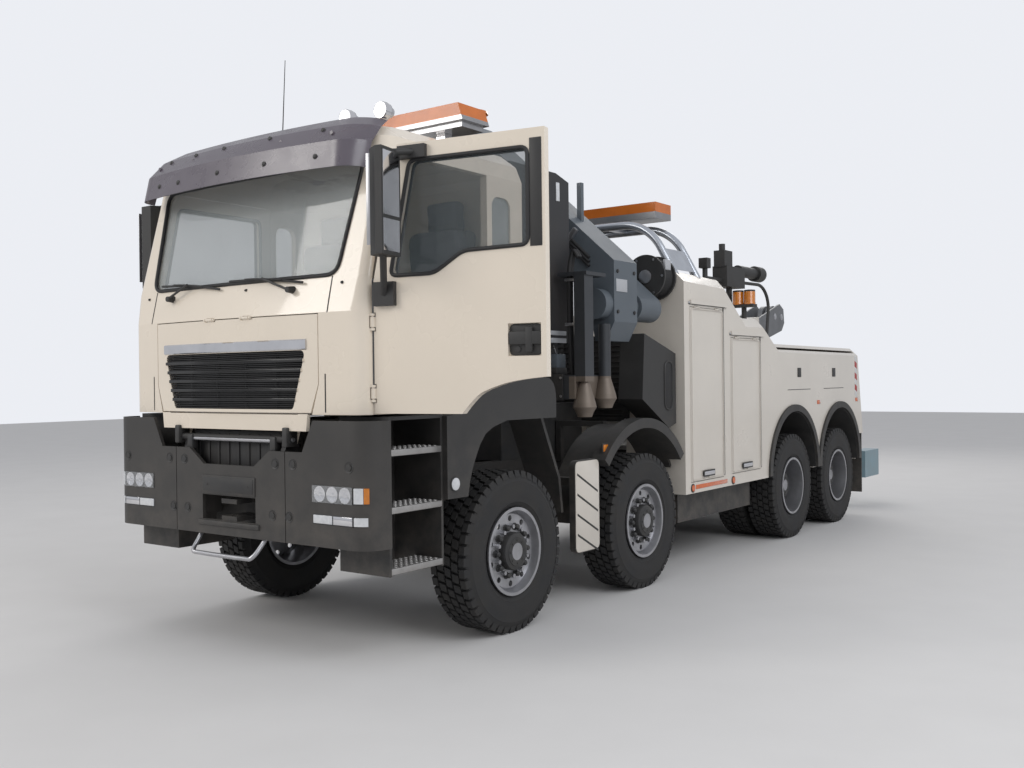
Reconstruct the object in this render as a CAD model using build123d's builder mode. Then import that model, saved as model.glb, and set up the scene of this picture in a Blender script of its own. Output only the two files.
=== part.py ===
"""Heavy recovery truck, four axles, with a folded loader crane, a recovery body and an underlift.

Millimetres. +X is the vehicle's left side, -Y its front, +Z up. The origin is the middle of the front
tow jaw's bore, on the centre plane. Heights are given above the ground and lengths behind the first
axle, and up() and aft() turn them into coordinates.
"""
from build123d import *
from math import cos, radians, sin
import os

os.makedirs("parts", exist_ok=True)

# Datums
TOW_HEIGHT = 900
TOW_AHEAD = 1360


def up(height):
    """Z of a height above the ground."""
    return height - TOW_HEIGHT


def aft(distance):
    """Y of a distance behind the first axle."""
    return distance + TOW_AHEAD


# Axles: distance behind the first axle
AXLE_AT = {"1": 0, "2": 1795, "3": 5000, "4": 6400}
STEERED = ("1", "2")
TWIN = ("3", "4")
SIDES = {"left": 1, "right": -1}

# Wheels
TYRE_R = 548
TYRE_WIDTH = 318
TYRE_SHOULDER = 26
TREAD_HALF = 138
BEAD_R = 286
BEAD_HALF = 138
RIM_FLANGE_R = 298.5
RIM_FLANGE = 12
RIM_WALL = 9
TRACK_HALF = 1087
TWIN_SPACING = 358
DISC_THICK = 16
DISC_BOLT_R = 167.5
HUB_R = 128
HUB_FACE = 1252
HUB_NUTS = 10
NUT_R = 15
NUT_LENGTH = 34
HUB_BORE_R = 70
SPINDLE_GAP = 0.3
DISC_HOLE_R = 20
DISC_FLAT_R = 250
DISC_HOLES = 10
DISC_HOLE_PITCH_R = 222

# Axle beams, knuckles and springs
BEAM_R = 78
DIFF_R = 215
KINGPIN_X = 865
KINGPIN_R = 28
KINGPIN_GAP = 0.05
EYE_R = 62
EYE_HALF = 70
EAR_GAP = 6
EAR_THICK = 46
EAR_TIP_R = 66
SPRING_X = 430
SPRING_WIDTH = 90
SPRING_HALF = 620
SPRING_THICK = 26
SPRING_CAMBER = 70
SPRING_PAD = 150

# Frame
RAIL_X = 380
RAIL_FLANGE = 90
RAIL_WEB = 9
RAIL_BOTTOM = 780
RAIL_TOP = 1060
FRAME_FRONT = -1180
FRAME_REAR = 7150
CROSS_MEMBERS = (-1120, 760, 2450, 3700, 5700, 7080)
CROSS_HALF = 55
JAW_WIDTH = 150
JAW_EAR = 30
JAW_GAP = 80
JAW_NOSE = 45
TOW_BORE_R = 21

# Engine
ENGINE_FRONT = -900
ENGINE_REAR = 620
ENGINE_HALF = 270
ENGINE_BOTTOM = 800
ENGINE_TOP = 1460

# Bumper
BUMPER_FACE = -1410
BUMPER_BOTTOM = 735
BUMPER_TOP = 1290
BUMPER_HALF = 1245
BUMPER_WALL = 24
BUMPER_CORNER_R = 150
BUMPER_REAR = -1222
BUMPER_RISE = 1482
RISE_INNER = 690
RISE_OUTER = 790
NOTCH_TOP_HALF = 394
NOTCH_LOW_HALF = 248
NOTCH_LOW = 1188
SLOT_HALF = 262
SLOT_LOW = 830
SLOT_HIGH = 990
SEAM_X = 538
SEAM_WIDTH = 6
LAMP_INNER = 785
LAMP_OUTER = 1130
HEAD_LAMP = (1002, 1100)
FOG_LAMP = (872, 930)
LAMP_DEPTH = 90
LAMP_RECESS = 8
STEP_RAIL_R = 13
STEP_RAIL_TOP = (322, -1345, 790)
STEP_RAIL_LOW = (296, -1469, 618)

# Cab
CAB_WALL = 55
CAB_FLOOR = 1515
CAB_FLOOR_THICK = 70
CAB_REAR = 280
CAB_HALF = 1120
CAB_LOW = 1415
CAB_LOW_HALF = 715
# Plan sections: height, half width, front at the centre, corner sag, corner radius, rear
CAB_SECTIONS = (
    (CAB_FLOOR, CAB_HALF, -1400, 60, 100, CAB_REAR),
    (2127, CAB_HALF, -1400, 60, 100, CAB_REAR),
    (2330, CAB_HALF, -1335, 36, 66, CAB_REAR),
    (3095, CAB_HALF, -1150, 40, 90, CAB_REAR),
    (3205, 1082, -1120, 45, 110, CAB_REAR - 14),
    (3290, 985, -1040, 45, 130, CAB_REAR - 60),
    (3338, 800, -860, 30, 150, CAB_REAR - 180),
)
SCREEN = ((900, 2352), (968, 3062))
SCREEN_R = 70
GLASS = 6
GLASS_DEEP = 12
DOOR_HINGE = -1240
DOOR_HINGE_OUT = 4
DOOR_OPEN = 79
DOOR_GAP = 6
# Door outline: distance behind the hinge, height; its lower rear edge follows the fender in a curve
DOOR_OUTLINE = ((1112, 3085), (176, 3085), (8, 2300), (8, 1522))
DOOR_CURVE = ((589, 1522), (640, 1580), (715, 1642), (857, 1692), (982, 1714), (1112, 1727))
DOOR_WINDOW = ((124, 2325), (418, 2325), (605, 2442), (1010, 2452), (1010, 2985), (262, 2985))
DOOR_WINDOW_R = 40
HANDLE = (880, 1080, 1842, 2022)
HANDLE_DEPTH = 22
SIDE_WINDOW = (-68, 140, 2440, 2960)
REAR_WINDOWS = ((290, 640, 2400, 2850),)
FLAP_HALF = 790
FLAP_LOW_HALF = 728
FLAP_TOP = 2118
FLAP_LOW = 1526
FLAP_THICK = 40
FLAP_GAP = 6
GRILLE_TOP = 1905
GRILLE_LOW = 1546
GRILLE_TOP_HALF = 690
GRILLE_LOW_HALF = 585
PIVOT_Y = -1365
PIVOT_HEIGHT = 1360
PIVOT_R = 22
PIVOT_HALF = 560

# Sun visor: height, front at the centre, sag to the corners, corner radius, half width
VISOR_SECTIONS = ((2985, -1425, 75, 150, 1050), (3150, -1388, 70, 170, 1052), (3260, -1290, 60, 190, 1025),
                  (3335, -1150, 40, 200, 960))
VISOR_THICK = 10

# Hinges: half length of the sleeve, the lugs' ends, and pin and sleeve radii for doors and for light leaves
HINGE_SLEEVE = 30
HINGE_LUG = (36, 50)
HINGE_CLEAR = 5.5
DOOR_HINGE_R = (8, 16)
LEAF_HINGE_R = (4, 9)
DOOR_HINGE_H = (1640, 2060)
FLAP_HINGE = (180, -1404, 2121)
LOCKER_HINGE = (3, 2)
LOCKER_HINGE_IN = 120

# Mirrors, as on a closed left door
MIRROR_IN = 1210
MIRROR_OUT = 1410
MIRROR_FRONT = -1100
MIRROR_BACK = -985
MIRROR_LOW = 2420
MIRROR_TOP = 3020
MIRROR_ARM_R = 20

# Step wells and fenders
WELL_FRONT = -1210
WELL_REAR = -722
WELL_IN = 800
WELL_OUT = 1212
WELL_TOP = 1500
WELL_LOW = 560
WELL_WALL = 20
TREADS = (1300, 960, 600)
TREAD_THICK = 32
TREAD_DEEP = 230
FENDER_OUT = 1250
FENDER_IN = 830
FENDER_WALL = 28
FENDER_2_R = 757
FENDER_2_LIP = 80
FENDER_2_END = 176
# Front fender's flared skin, distance behind the first axle and height: its top and its arch are curves
FENDER_FOOT = (-722, 972)
FENDER_TOP = ((-722, 1492), (-640, 1500), (-535, 1560), (-372, 1640), (-125, 1692), (318, 1725), (440, 1700),
              (488, 1610), (490, 1438))
FENDER_ARCH = ((-94, 1440), (-331, 1362), (-471, 1146), (-519, 972))
# Its liner over the wheel: the arch, the line behind it, and both again one wall further out
LINER_ARCH = ((-519, 970), (-471, 1146), (-331, 1362), (-94, 1444))
LINER_REAR = ((476, 1438), (700, 980), (735, 720), (763, 722), (727, 985), (494, 1466))
LINER_BACK = ((-103, 1472), (-350, 1386), (-497, 1156), (-547, 970))
FENDER_ARMS = ((120, 1446), (1795, 1308))

# Roof gear
ROOF_TUBE_HALF = 930
ROOF_TUBE_Y = -900
ROOF_TUBE_H = 3352
ROOF_TUBE_R = 16
ROOF_LAMPS = (626, 935)
ROOF_LAMP_R = 52
ROOF_LAMP_H = 3394
BEACON_HALF = 940
BEACON_Y = 0
BEACON_DEEP = 300
BEACON_LOW = 3455
BEACON_TOP = 3615
VISOR_STUBS = (-0.82, -0.42, 0, 0.42, 0.82)
VISOR_STUB_R = 12
VISOR_STUB_END = -1060
VISOR_STUB_H = 3205

# Interior
DASH_HALF = 1020
TUNNEL_RISE = 300
SEAT_X = 560
SEAT_HALF = 250
WHEEL_RIM_R = 225
WHEEL_GRIP_R = 15
WHEEL_COLUMN = 420

# Mirror feet: lowest, highest, front, rear, and the height of the arm's tip
MIRROR_FEET = ((2150, 2290, -1215, -1075, 2440), (2990, 3065, -1040, -860, 3000))

# Grille
GRILLE_SLATS = 5
SLAT_HALF = 9

# Recovery body outside
BODY_OUT = 1250
BODY_IN = 660
BODY_WALL = 30
BODY_FRONT = 2490
BODY_LOW = 690
# Outline of the body's side: distance behind the first axle, height
BODY_TAIL_LOW = 1000
BODY_SIDE = ((2490, 690), (7110, 690), (7110, BODY_TAIL_LOW), (7270, BODY_TAIL_LOW), (7080, 2040), (4646, 2050),
             (4235, 2290), (3816, 2284), (3340, 2620), (2490, 2640))
BODY_EDGE = 90
REAR_ARCHES = (5020, 6430)
ARCH_CENTRE = 700
ARCH_R = 640
TRIM_WIDTH = 70
TRIM_PROUD = 22
TRIM_DEEP = 40
# Lockers: front, rear, lowest, top
LOCKERS = {"front": (2600, 3260, 790, 2330), "rear": (3440, 4110, 800, 2080)}
LOCKER_LIP = 20
LOCKER_DEEP = 30
LOCKER_GAP = 5
LATCH = (150, 26, 12)
GUTTER = (22, 34)
SHELF_UP = 620

# Deck, winches and valve bank
DECK_HALF = 555
DECK_LOW = 1060
DECK_TOP = 1100
DECK_FRONT = 2490
DECK_REAR = 7080
BEARERS = (2600, 3900, 5700, 7040)
BEARER_HALF = 45
DRUM_R = 110
DRUM_FLANGE_R = 190
DRUM_AT = ((4250, 1330), (4750, 1330))
DRUM_HALF = 220
MAST_FRONT = 3420
MAST_REAR = 3900
MAST_IN = 232
MAST_OUT = 272
MAST_TOP = 1880
VALVES = (700, 4000, 4900)

# Hoops and rear beacon
HOOP_AT = (2540, 2960)
HOOP_R = 36
HOOP_FOOT = (1150, 2600)
HOOP_CORNER = (880, 3095)
HOOP_BEND = 430
REAR_BEACON = (840, 2750, 3050, 3175, 3320)

# Loader crane: centre line of the boom falls to the left
CRANE_SLOPE = 41.5
CRANE_PIVOT = (-400, 3700)
CRANE_PIN_R = 40
CRANE_Y = (1400, 1760)
COLUMN = (-650, -150, -575, -225)
COLUMN_LOW = 1500
COLUMN_TOP = 3330
# Boom outline, (x, height)
CRANE_BOOM = ((-600, 3990), (-270, 3945), (1200, 2645), (1200, 2160), (1120, 2010), (1020, 2010), (940, 2452),
              (-215, 3474), (-330, 3590), (-520, 3590), (-620, 3720))
KNUCKLE = (1070, 2300)
KNUCKLE_R = 45
OUTER_Y = (1862, 2198)
OUTER_DEEP = 236
OUTER_LENGTH = 1860
OUTER_WALL = 16
EXTENSION_GAP = 0.3
CRANE_BASE = (370, 1000, 2200, 1060, 1500)
HOUSING = (1000, 950, 1150, 1550, 1750)
HOUSING_WALL = 14
STABILISER_GAP = 0.3
LEG_AT = (1142, 1040)
LEG_R = 48
LEG_LOW = 1420
LEG_TOP = 2500
BELL_R = 92
BELL_AT = 1340
BELL_NECK_R = 32
BELL_TOP = 1720
BELL_LEG_TOP = 2140
# Square sleeve of the front leg: half width, half length, lowest; and the wedge bracket on top of it
LEG_SLEEVE = (48, 62, 1690)
LEG_BRACKET = (-200, 62, 985, 1265, 28)
# Cap over the knuckle's pin: front, radius
PIN_CAP = (1290, 122)
BOOM_POST = (745, 787, 1580, 1620, 3000, 3330)

# Air intake, side plates, tank and box
INTAKE = (600, 900, 440, 1220, 2000, 3310)
PLATE = (1150, 1200, 800, 1140, 410, 1100)
PLATE_CORNER_R = 50
# Hose reel ahead of the left body: centre (x, height), radii, front and rear
REEL = (1010, 2585)
REEL_R = (190, 135, 45)
REEL_Y = (2240, 2265, 2430, 2455)
# Work lamp cluster on the left body: posts and boxes as (x, y, heights)
CLUSTER_X = 800
CLUSTER_POST = (4400, 2100, 2680, 32)
CLUSTER_BOXES = ((4180, 4620, 2640, 2850, 80), (4170, 4360, 2840, 3010, 60), (3790, 3880, 2800, 2900, 45))
CLUSTER_RODS = ((4240, 3000, 4240, 3080, 32), (4610, 2832, 5190, 2832, 60), (5040, 2832, 5195, 2832, 84),
                (4190, 2700, 3840, 2700, 26), (3840, 2690, 3840, 2810, 26))
HOSE_LINE = ((840, 4620.5, 2705), (900, 5235, 2705), (900, 5110, 2030))
HOSE_R = 17
HOSE_BEND = 230
TWIN_LAMP = (4360, 2425, 2455, 2600)
TWIN_LAMP_X = (920, 1045)
TWIN_LAMP_R = 56
MUD_FLAP = (900, 1240, 7232, 7250, 270)
OVAL_BOX = ((1893, 2080), (2440, 1920), (2440, 1316), (2309, 1280), (1850, 1537))
OVAL_BOX_X = (960, 1190)
TANK = (620, 1100, 2620, 4180, 420, 680)

# Recovery boom, in its own line from the pivot: distance along, and up from the line
BOOM_PIVOT = (3660, 1780)
BOOM_ANGLE = 7.6
BOOM_PIN_R = 45
BOOM_HALF = 190
BOOM_DEEP = 340
BOOM_LENGTH = 3000
BOOM_WALL = 18
BOOM_HEAD = 3820
HEAD_SHEAVE_R = 150

# Underlift
LIFT_PIVOT = (7500, 620)
LIFT_PIN_R = 42
LIFT_HALF = 150
LIFT_DEEP = 150
ARM_END = 8010
ARM_WALL = 20
STINGER_END = 8420
SWIVEL_Y = 8275
SWIVEL_R = 45
CROSSBAR_HALF = 1000
CROSSBAR = (8165, 8385, 400, 600)
RECEIVER_IN = 810
RECEIVER = (8130, 8700, 360, 710)
RECEIVER_WALL = 30


def block(x0, x1, y0, y1, z0, z1, mode=Mode.ADD):
    """A box between six faces."""
    with Locations(((x0 + x1) / 2, (y0 + y1) / 2, (z0 + z1) / 2)):
        Box(x1 - x0, y1 - y0, z1 - z0, mode=mode)


def side_prism(points, x0, x1, mode=Mode.ADD, round_by=0):
    """An outline of (y, z) points, drawn out along X."""
    with BuildSketch(Plane.YZ.offset(x0)) as outline:
        with BuildLine():
            Polyline(*points, close=True)
        make_face()
        if round_by:
            fillet(outline.vertices(), round_by)
    extrude(outline.sketch, amount=x1 - x0, mode=mode)


def front_prism(points, y0, y1, mode=Mode.ADD, round_by=0):
    """An outline of (x, z) points, drawn out along Y."""
    with BuildSketch(Plane.XZ.offset(-y0)) as outline:
        with BuildLine():
            Polyline(*points, close=True)
        make_face()
        if round_by:
            fillet(outline.vertices(), round_by)
    extrude(outline.sketch, amount=y0 - y1, mode=mode)


def eased(points, steps=4):
    """Points of a smooth line through the given ones, for outlines that are curved on the vehicle."""
    line = []
    for index in range(len(points) - 1):
        before, start = points[max(index - 1, 0)], points[index]
        end, after = points[index + 1], points[min(index + 2, len(points) - 1)]
        for step in range(steps):
            t = step / steps
            line.append(tuple(
                0.5 * (2 * b + (c - a) * t + (2 * a - 5 * b + 4 * c - d) * t ** 2 + (3 * b - a - 3 * c + d) * t ** 3)
                for a, b, c, d in zip(before, start, end, after)))
    return (*line, points[-1])


def rod(start, end, radius, mode=Mode.ADD):
    """A round bar between two points."""
    along = Vector(*end) - Vector(*start)
    with BuildSketch(Plane(origin=start, z_dir=along)) as section:
        Circle(radius)
    extrude(section.sketch, amount=along.length, mode=mode)


def along_hinge(centre, along, offset):
    """A point on a hinge's axis."""
    return tuple(place + step * offset for place, step in zip(centre, along))


def hinge_lugs(centre, along, radii):
    """The carrying side of a hinge: a notch for the sleeve, two lugs and the pin."""
    pin, sleeve = radii
    near, far = HINGE_LUG
    rod(along_hinge(centre, along, -near), along_hinge(centre, along, near), sleeve + HINGE_CLEAR,
        mode=Mode.SUBTRACT)
    for way in (1, -1):
        rod(along_hinge(centre, along, way * near), along_hinge(centre, along, way * far), sleeve)
    rod(along_hinge(centre, along, 1 - far), along_hinge(centre, along, far - 1), pin)


def hinge_sleeve(centre, along, radii):
    """The moving side of a hinge: notches for the lugs, and a sleeve round the pin."""
    pin, sleeve = radii
    end = HINGE_LUG[1] + HINGE_CLEAR
    for way in (1, -1):
        rod(along_hinge(centre, along, way * HINGE_SLEEVE), along_hinge(centre, along, way * end),
            sleeve + HINGE_CLEAR, mode=Mode.SUBTRACT)
    rod(along_hinge(centre, along, -HINGE_SLEEVE), along_hinge(centre, along, HINGE_SLEEVE), sleeve)
    rod(along_hinge(centre, along, -end), along_hinge(centre, along, end), pin + KINGPIN_GAP, mode=Mode.SUBTRACT)


def save(piece, name):
    """Label a finished piece and write its file."""
    piece.label = name
    export_step(piece, f"parts/{name}.step")


def both_sides(points):
    """A half outline on the left, closed by its mirror image."""
    return tuple(points) + tuple((-x, z) for x, z in reversed(points))


# Wheels
AXLE_Z = up(TYRE_R)


def ring(profile, centre_y, side):
    """A ring about a wheel's axis, from (distance out, radius) points."""
    section_plane = Plane(origin=(0, centre_y, AXLE_Z), x_dir=(side, 0, 0), z_dir=(0, -side, 0))
    with BuildSketch(section_plane) as section:
        with BuildLine():
            Polyline(*profile, close=True)
        make_face()
    revolve(section.sketch, axis=Axis((0, centre_y, AXLE_Z), (1, 0, 0)))


def tyre_profile(middle):
    """Half section of a tyre about a middle plane at a distance from the centre plane."""
    half = TYRE_WIDTH / 2
    wall_r = (TYRE_R + BEAD_R) / 2 - 12
    return ((middle - BEAD_HALF, BEAD_R), (middle + BEAD_HALF, BEAD_R),
            (middle + BEAD_HALF, RIM_FLANGE_R + 2), (middle + half - 6, wall_r - 58),
            (middle + half, wall_r + 20), (middle + half - 4, TYRE_R - 62),
            (middle + TREAD_HALF, TYRE_R - TYRE_SHOULDER / 2), (middle + TREAD_HALF - TYRE_SHOULDER, TYRE_R),
            (middle - TREAD_HALF + TYRE_SHOULDER, TYRE_R), (middle - TREAD_HALF, TYRE_R - TYRE_SHOULDER / 2),
            (middle - half + 4, TYRE_R - 62), (middle - half, wall_r + 20),
            (middle - half + 6, wall_r - 58), (middle - BEAD_HALF, RIM_FLANGE_R + 2))


def rim_profile(middle, disc):
    """Section of a rim and its disc: the disc's outer face stands at a distance from the centre plane."""
    out = middle + BEAD_HALF + RIM_FLANGE
    inn = middle - BEAD_HALF - RIM_FLANGE
    well = BEAD_R - 26
    skin = BEAD_R - 0.2
    return ((out, RIM_FLANGE_R), (out - RIM_FLANGE + 0.2, RIM_FLANGE_R), (out - RIM_FLANGE + 0.2, skin),
            (inn + RIM_FLANGE - 0.2, skin), (inn + RIM_FLANGE - 0.2, RIM_FLANGE_R), (inn, RIM_FLANGE_R),
            (inn, skin - RIM_WALL), (disc - DISC_THICK - 26, well), (disc - DISC_THICK, DISC_FLAT_R),
            (disc - DISC_THICK, HUB_BORE_R + 20), (disc, HUB_BORE_R + 20), (disc, DISC_FLAT_R),
            (disc - 10, well + 2), (out, skin - RIM_WALL))


def wheel(axle, side_name):
    """Tyre and rim with hub for one wheel, single or twin."""
    side = SIDES[side_name]
    centre_y = aft(AXLE_AT[axle])
    twin = axle in TWIN
    middles = (TRACK_HALF, TRACK_HALF - TWIN_SPACING) if twin else (TRACK_HALF,)
    disc = TRACK_HALF - TWIN_SPACING / 2 + DISC_THICK if twin else HUB_FACE - 62
    hub_in = 620 if twin else 1000
    hub_face = 1150 if twin else HUB_FACE
    name = f"{axle}_{side_name}"
    with BuildPart() as tyre:
        for middle in middles:
            ring(tyre_profile(middle), centre_y, side)
    save(tyre.part, f"tyre_{name}")
    with BuildPart() as rim:
        ring(rim_profile(TRACK_HALF, disc), centre_y, side)
        if twin:
            mirror_plane = TRACK_HALF - TWIN_SPACING / 2
            inner = tuple((2 * mirror_plane - x, r) for x, r in rim_profile(TRACK_HALF, disc))
            ring(inner, centre_y, side)
        ring(((hub_in, HUB_BORE_R), (hub_face - 60, HUB_BORE_R), (hub_face - 60, 0), (hub_face, 0),
              (hub_face, HUB_R - 34), (hub_face - 12, HUB_R - 22), (hub_face - 52, HUB_R - 10),
              (disc - 1, HUB_R), (hub_in + 40, HUB_R), (hub_in, HUB_R - 20)), centre_y, side)
        disc_plane = Plane(origin=(side * disc, centre_y, AXLE_Z), z_dir=(side, 0, 0))
        with BuildSketch(disc_plane):
            with PolarLocations(DISC_BOLT_R, HUB_NUTS):
                RegularPolygon(NUT_R, 6)
        extrude(amount=NUT_LENGTH)
        with BuildSketch(disc_plane.offset(4)):
            with PolarLocations(DISC_HOLE_PITCH_R, DISC_HOLES):
                Circle(DISC_HOLE_R)
        extrude(amount=-2 * DISC_THICK - 10, mode=Mode.SUBTRACT)
    save(rim.part, f"rim_{name}")


for axle_name in AXLE_AT:
    for side_name in SIDES:
        wheel(axle_name, side_name)

# Knuckles: a fork about the axle's eye, with the wheel's spindle
SPINDLE_END = HUB_FACE - 80
for axle_name in STEERED:
    for side_name, side in SIDES.items():
        centre_y = aft(AXLE_AT[axle_name])
        pin = (side * KINGPIN_X, centre_y)
        fork_half = EYE_HALF + EAR_GAP + EAR_THICK
        with BuildPart() as knuckle:
            for low, high in ((EYE_HALF + EAR_GAP, fork_half), (-fork_half, -EYE_HALF - EAR_GAP)):
                with BuildSketch(Plane.XY.offset(AXLE_Z + low)):
                    with Locations(pin):
                        Circle(EAR_TIP_R)
                    with Locations((pin[0] + side * EAR_TIP_R / 2, pin[1])):
                        Rectangle(EAR_TIP_R + 40, 2 * EAR_TIP_R)
                extrude(amount=high - low)
            rod((*pin, AXLE_Z - fork_half - 14), (*pin, AXLE_Z + fork_half + 14), KINGPIN_R)
            out = KINGPIN_X + EAR_TIP_R + 20
            x_in, x_out = sorted((side * (out - 20), side * (out + 28)))
            block(x_in, x_out, centre_y - EAR_TIP_R, centre_y + EAR_TIP_R, AXLE_Z - fork_half,
                  AXLE_Z + fork_half)
            rod((side * (out + 10), centre_y, AXLE_Z), (side * SPINDLE_END, centre_y, AXLE_Z),
                HUB_BORE_R - SPINDLE_GAP)
        save(knuckle.part, f"knuckle_{axle_name}_{side_name}")

# Axle beams with differentials and leaf springs
with BuildPart() as axles:
    for axle_name, at in AXLE_AT.items():
        centre_y = aft(at)
        steered = axle_name in STEERED
        reach = KINGPIN_X - 20 if steered else SPINDLE_END - 110
        rod((-reach, centre_y, AXLE_Z), (reach, centre_y, AXLE_Z), BEAM_R - (24 if steered else 9))
        rod((-SPRING_X - 60, centre_y, AXLE_Z), (SPRING_X + 60, centre_y, AXLE_Z), BEAM_R)
        with Locations((0, centre_y, AXLE_Z)):
            Sphere(DIFF_R)
        rod((0, centre_y, AXLE_Z), (0, centre_y + 260, AXLE_Z + 30), 95)
        for side in SIDES.values():
            if steered:
                pin = (side * KINGPIN_X, centre_y)
                rod((*pin, AXLE_Z - EYE_HALF), (*pin, AXLE_Z + EYE_HALF), EYE_R)
                rod((*pin, AXLE_Z - EYE_HALF), (*pin, AXLE_Z + EYE_HALF), KINGPIN_R + KINGPIN_GAP,
                    mode=Mode.SUBTRACT)
            else:
                rod((side * (reach - 50), centre_y, AXLE_Z), (side * SPINDLE_END * 0.93, centre_y, AXLE_Z),
                    HUB_BORE_R - SPINDLE_GAP)
            block(side * SPRING_X - SPRING_WIDTH / 2, side * SPRING_X + SPRING_WIDTH / 2,
                  centre_y - SPRING_PAD / 2, centre_y + SPRING_PAD / 2, AXLE_Z, AXLE_Z + BEAM_R + 12)
            base = AXLE_Z + BEAM_R + 12
            for leaf, share in enumerate((1.0, 0.72, 0.45)):
                half = SPRING_HALF * share
                low = base + (2 - leaf) * SPRING_THICK
                rise = SPRING_CAMBER * share
                side_prism(((centre_y - half, low + rise), (centre_y, low), (centre_y + half, low + rise),
                            (centre_y + half, low + rise + SPRING_THICK), (centre_y, low + SPRING_THICK),
                            (centre_y - half, low + rise + SPRING_THICK)),
                           side * SPRING_X - SPRING_WIDTH / 2, side * SPRING_X + SPRING_WIDTH / 2)
save(axles.part, "axles")

# Frame
SPRING_TOP = AXLE_Z + BEAM_R + 12 + 3 * SPRING_THICK + SPRING_CAMBER
BUMPER_INSIDE = BUMPER_FACE + BUMPER_WALL
with BuildPart() as frame:
    for side in SIDES.values():
        web = sorted((side * (RAIL_X - RAIL_WEB), side * RAIL_X))
        flange = sorted((side * (RAIL_X - RAIL_FLANGE), side * RAIL_X))
        block(*web, aft(FRAME_FRONT), aft(FRAME_REAR), up(RAIL_BOTTOM), up(RAIL_TOP))
        block(*flange, aft(FRAME_FRONT), aft(FRAME_REAR), up(RAIL_BOTTOM), up(RAIL_BOTTOM) + RAIL_WEB)
        block(*flange, aft(FRAME_FRONT), aft(FRAME_REAR), up(RAIL_TOP) - RAIL_WEB, up(RAIL_TOP))
        for at in AXLE_AT.values():
            for end in (-1, 1):
                hanger = sorted((aft(at) + end * (SPRING_HALF - 60), aft(at) + end * SPRING_HALF))
                outer = sorted((side * (RAIL_X - 1), side * (SPRING_X + SPRING_WIDTH / 2)))
                block(*outer, *hanger, SPRING_TOP + SPINDLE_GAP, SPRING_TOP + 110)
        horn = sorted((side * (RAIL_X - 60), side * RAIL_X))
        block(*horn, aft(BUMPER_INSIDE), aft(FRAME_FRONT) + 20, up(850), up(1000))
        tower = sorted((side * (PIVOT_HALF - 100), side * (PIVOT_HALF - 60)))
        side_prism(((aft(BUMPER_INSIDE) + 5, up(1000)), (aft(PIVOT_Y) + 110, up(1000)),
                    (aft(PIVOT_Y) + 110, up(PIVOT_HEIGHT) - 30), (aft(PIVOT_Y), up(PIVOT_HEIGHT)),
                    (aft(PIVOT_Y), up(BUMPER_TOP) + 20), (aft(BUMPER_INSIDE) + 5, up(BUMPER_TOP) - 20)), *tower)
        foot = sorted((side * (RAIL_X - 60), side * (PIVOT_HALF - 60)))
        block(*foot, aft(PIVOT_Y) + 30, aft(PIVOT_Y) + 110, up(920), up(1010))
        mount = sorted((side * (RAIL_X - RAIL_FLANGE), side * RAIL_X))
        block(*mount, aft(CAB_REAR) - 90, aft(CAB_REAR) - 10, up(RAIL_TOP) - 2,
              up(CAB_FLOOR) - SPINDLE_GAP)
    for at in CROSS_MEMBERS:
        block(-RAIL_X + 1, RAIL_X - 1, aft(at) - CROSS_HALF, aft(at) + CROSS_HALF, up(RAIL_BOTTOM) + 10,
              up(RAIL_BOTTOM) + 130)
    block(-RAIL_X + 1, RAIL_X - 1, aft(FRAME_FRONT) - 30, aft(FRAME_FRONT) + 30, up(RAIL_BOTTOM), up(RAIL_TOP))
    rod((-PIVOT_HALF, aft(PIVOT_Y), up(PIVOT_HEIGHT)), (PIVOT_HALF, aft(PIVOT_Y), up(PIVOT_HEIGHT)), PIVOT_R)
    for side in SIDES.values():
        cheek = sorted((side * (LIFT_HALF + 6), side * (LIFT_HALF + 46)))
        side_prism(((aft(FRAME_REAR) - 260, up(RAIL_BOTTOM) - 120), (aft(LIFT_PIVOT[0]), up(LIFT_PIVOT[1]) - 110),
                    (aft(LIFT_PIVOT[0]) + 90, up(LIFT_PIVOT[1])), (aft(LIFT_PIVOT[0]) + 20, up(LIFT_PIVOT[1]) + 110),
                    (aft(FRAME_REAR), up(RAIL_TOP) - 20), (aft(FRAME_REAR) - 260, up(RAIL_TOP) - 20)), *cheek)
    block(-RAIL_X + RAIL_WEB, RAIL_X - RAIL_WEB, aft(FRAME_REAR) - 240, aft(FRAME_REAR) - 200, up(RAIL_BOTTOM) + 10,
          up(RAIL_TOP) - 10)
    rod((-LIFT_HALF - 60, aft(LIFT_PIVOT[0]), up(LIFT_PIVOT[1])), (LIFT_HALF + 60, aft(LIFT_PIVOT[0]),
                                                                   up(LIFT_PIVOT[1])), LIFT_PIN_R)
    for low in (JAW_GAP / 2, -JAW_GAP / 2 - JAW_EAR):
        block(-JAW_WIDTH / 2, JAW_WIDTH / 2, -JAW_NOSE, aft(FRAME_FRONT), low, low + JAW_EAR)
    rod((0, 0, -200), (0, 0, 200), TOW_BORE_R, mode=Mode.SUBTRACT)
save(frame.part, "frame")

# Engine, one plain block
with BuildPart() as engine:
    block(-ENGINE_HALF, ENGINE_HALF, aft(ENGINE_FRONT), aft(ENGINE_REAR), up(ENGINE_BOTTOM), up(ENGINE_TOP))
    for side in SIDES.values():
        foot = sorted((side * (ENGINE_HALF - 1), side * (RAIL_X - RAIL_WEB - SPINDLE_GAP)))
        block(*foot, aft(-300), aft(-180), up(900), up(1000))
save(engine.part, "engine")

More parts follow.
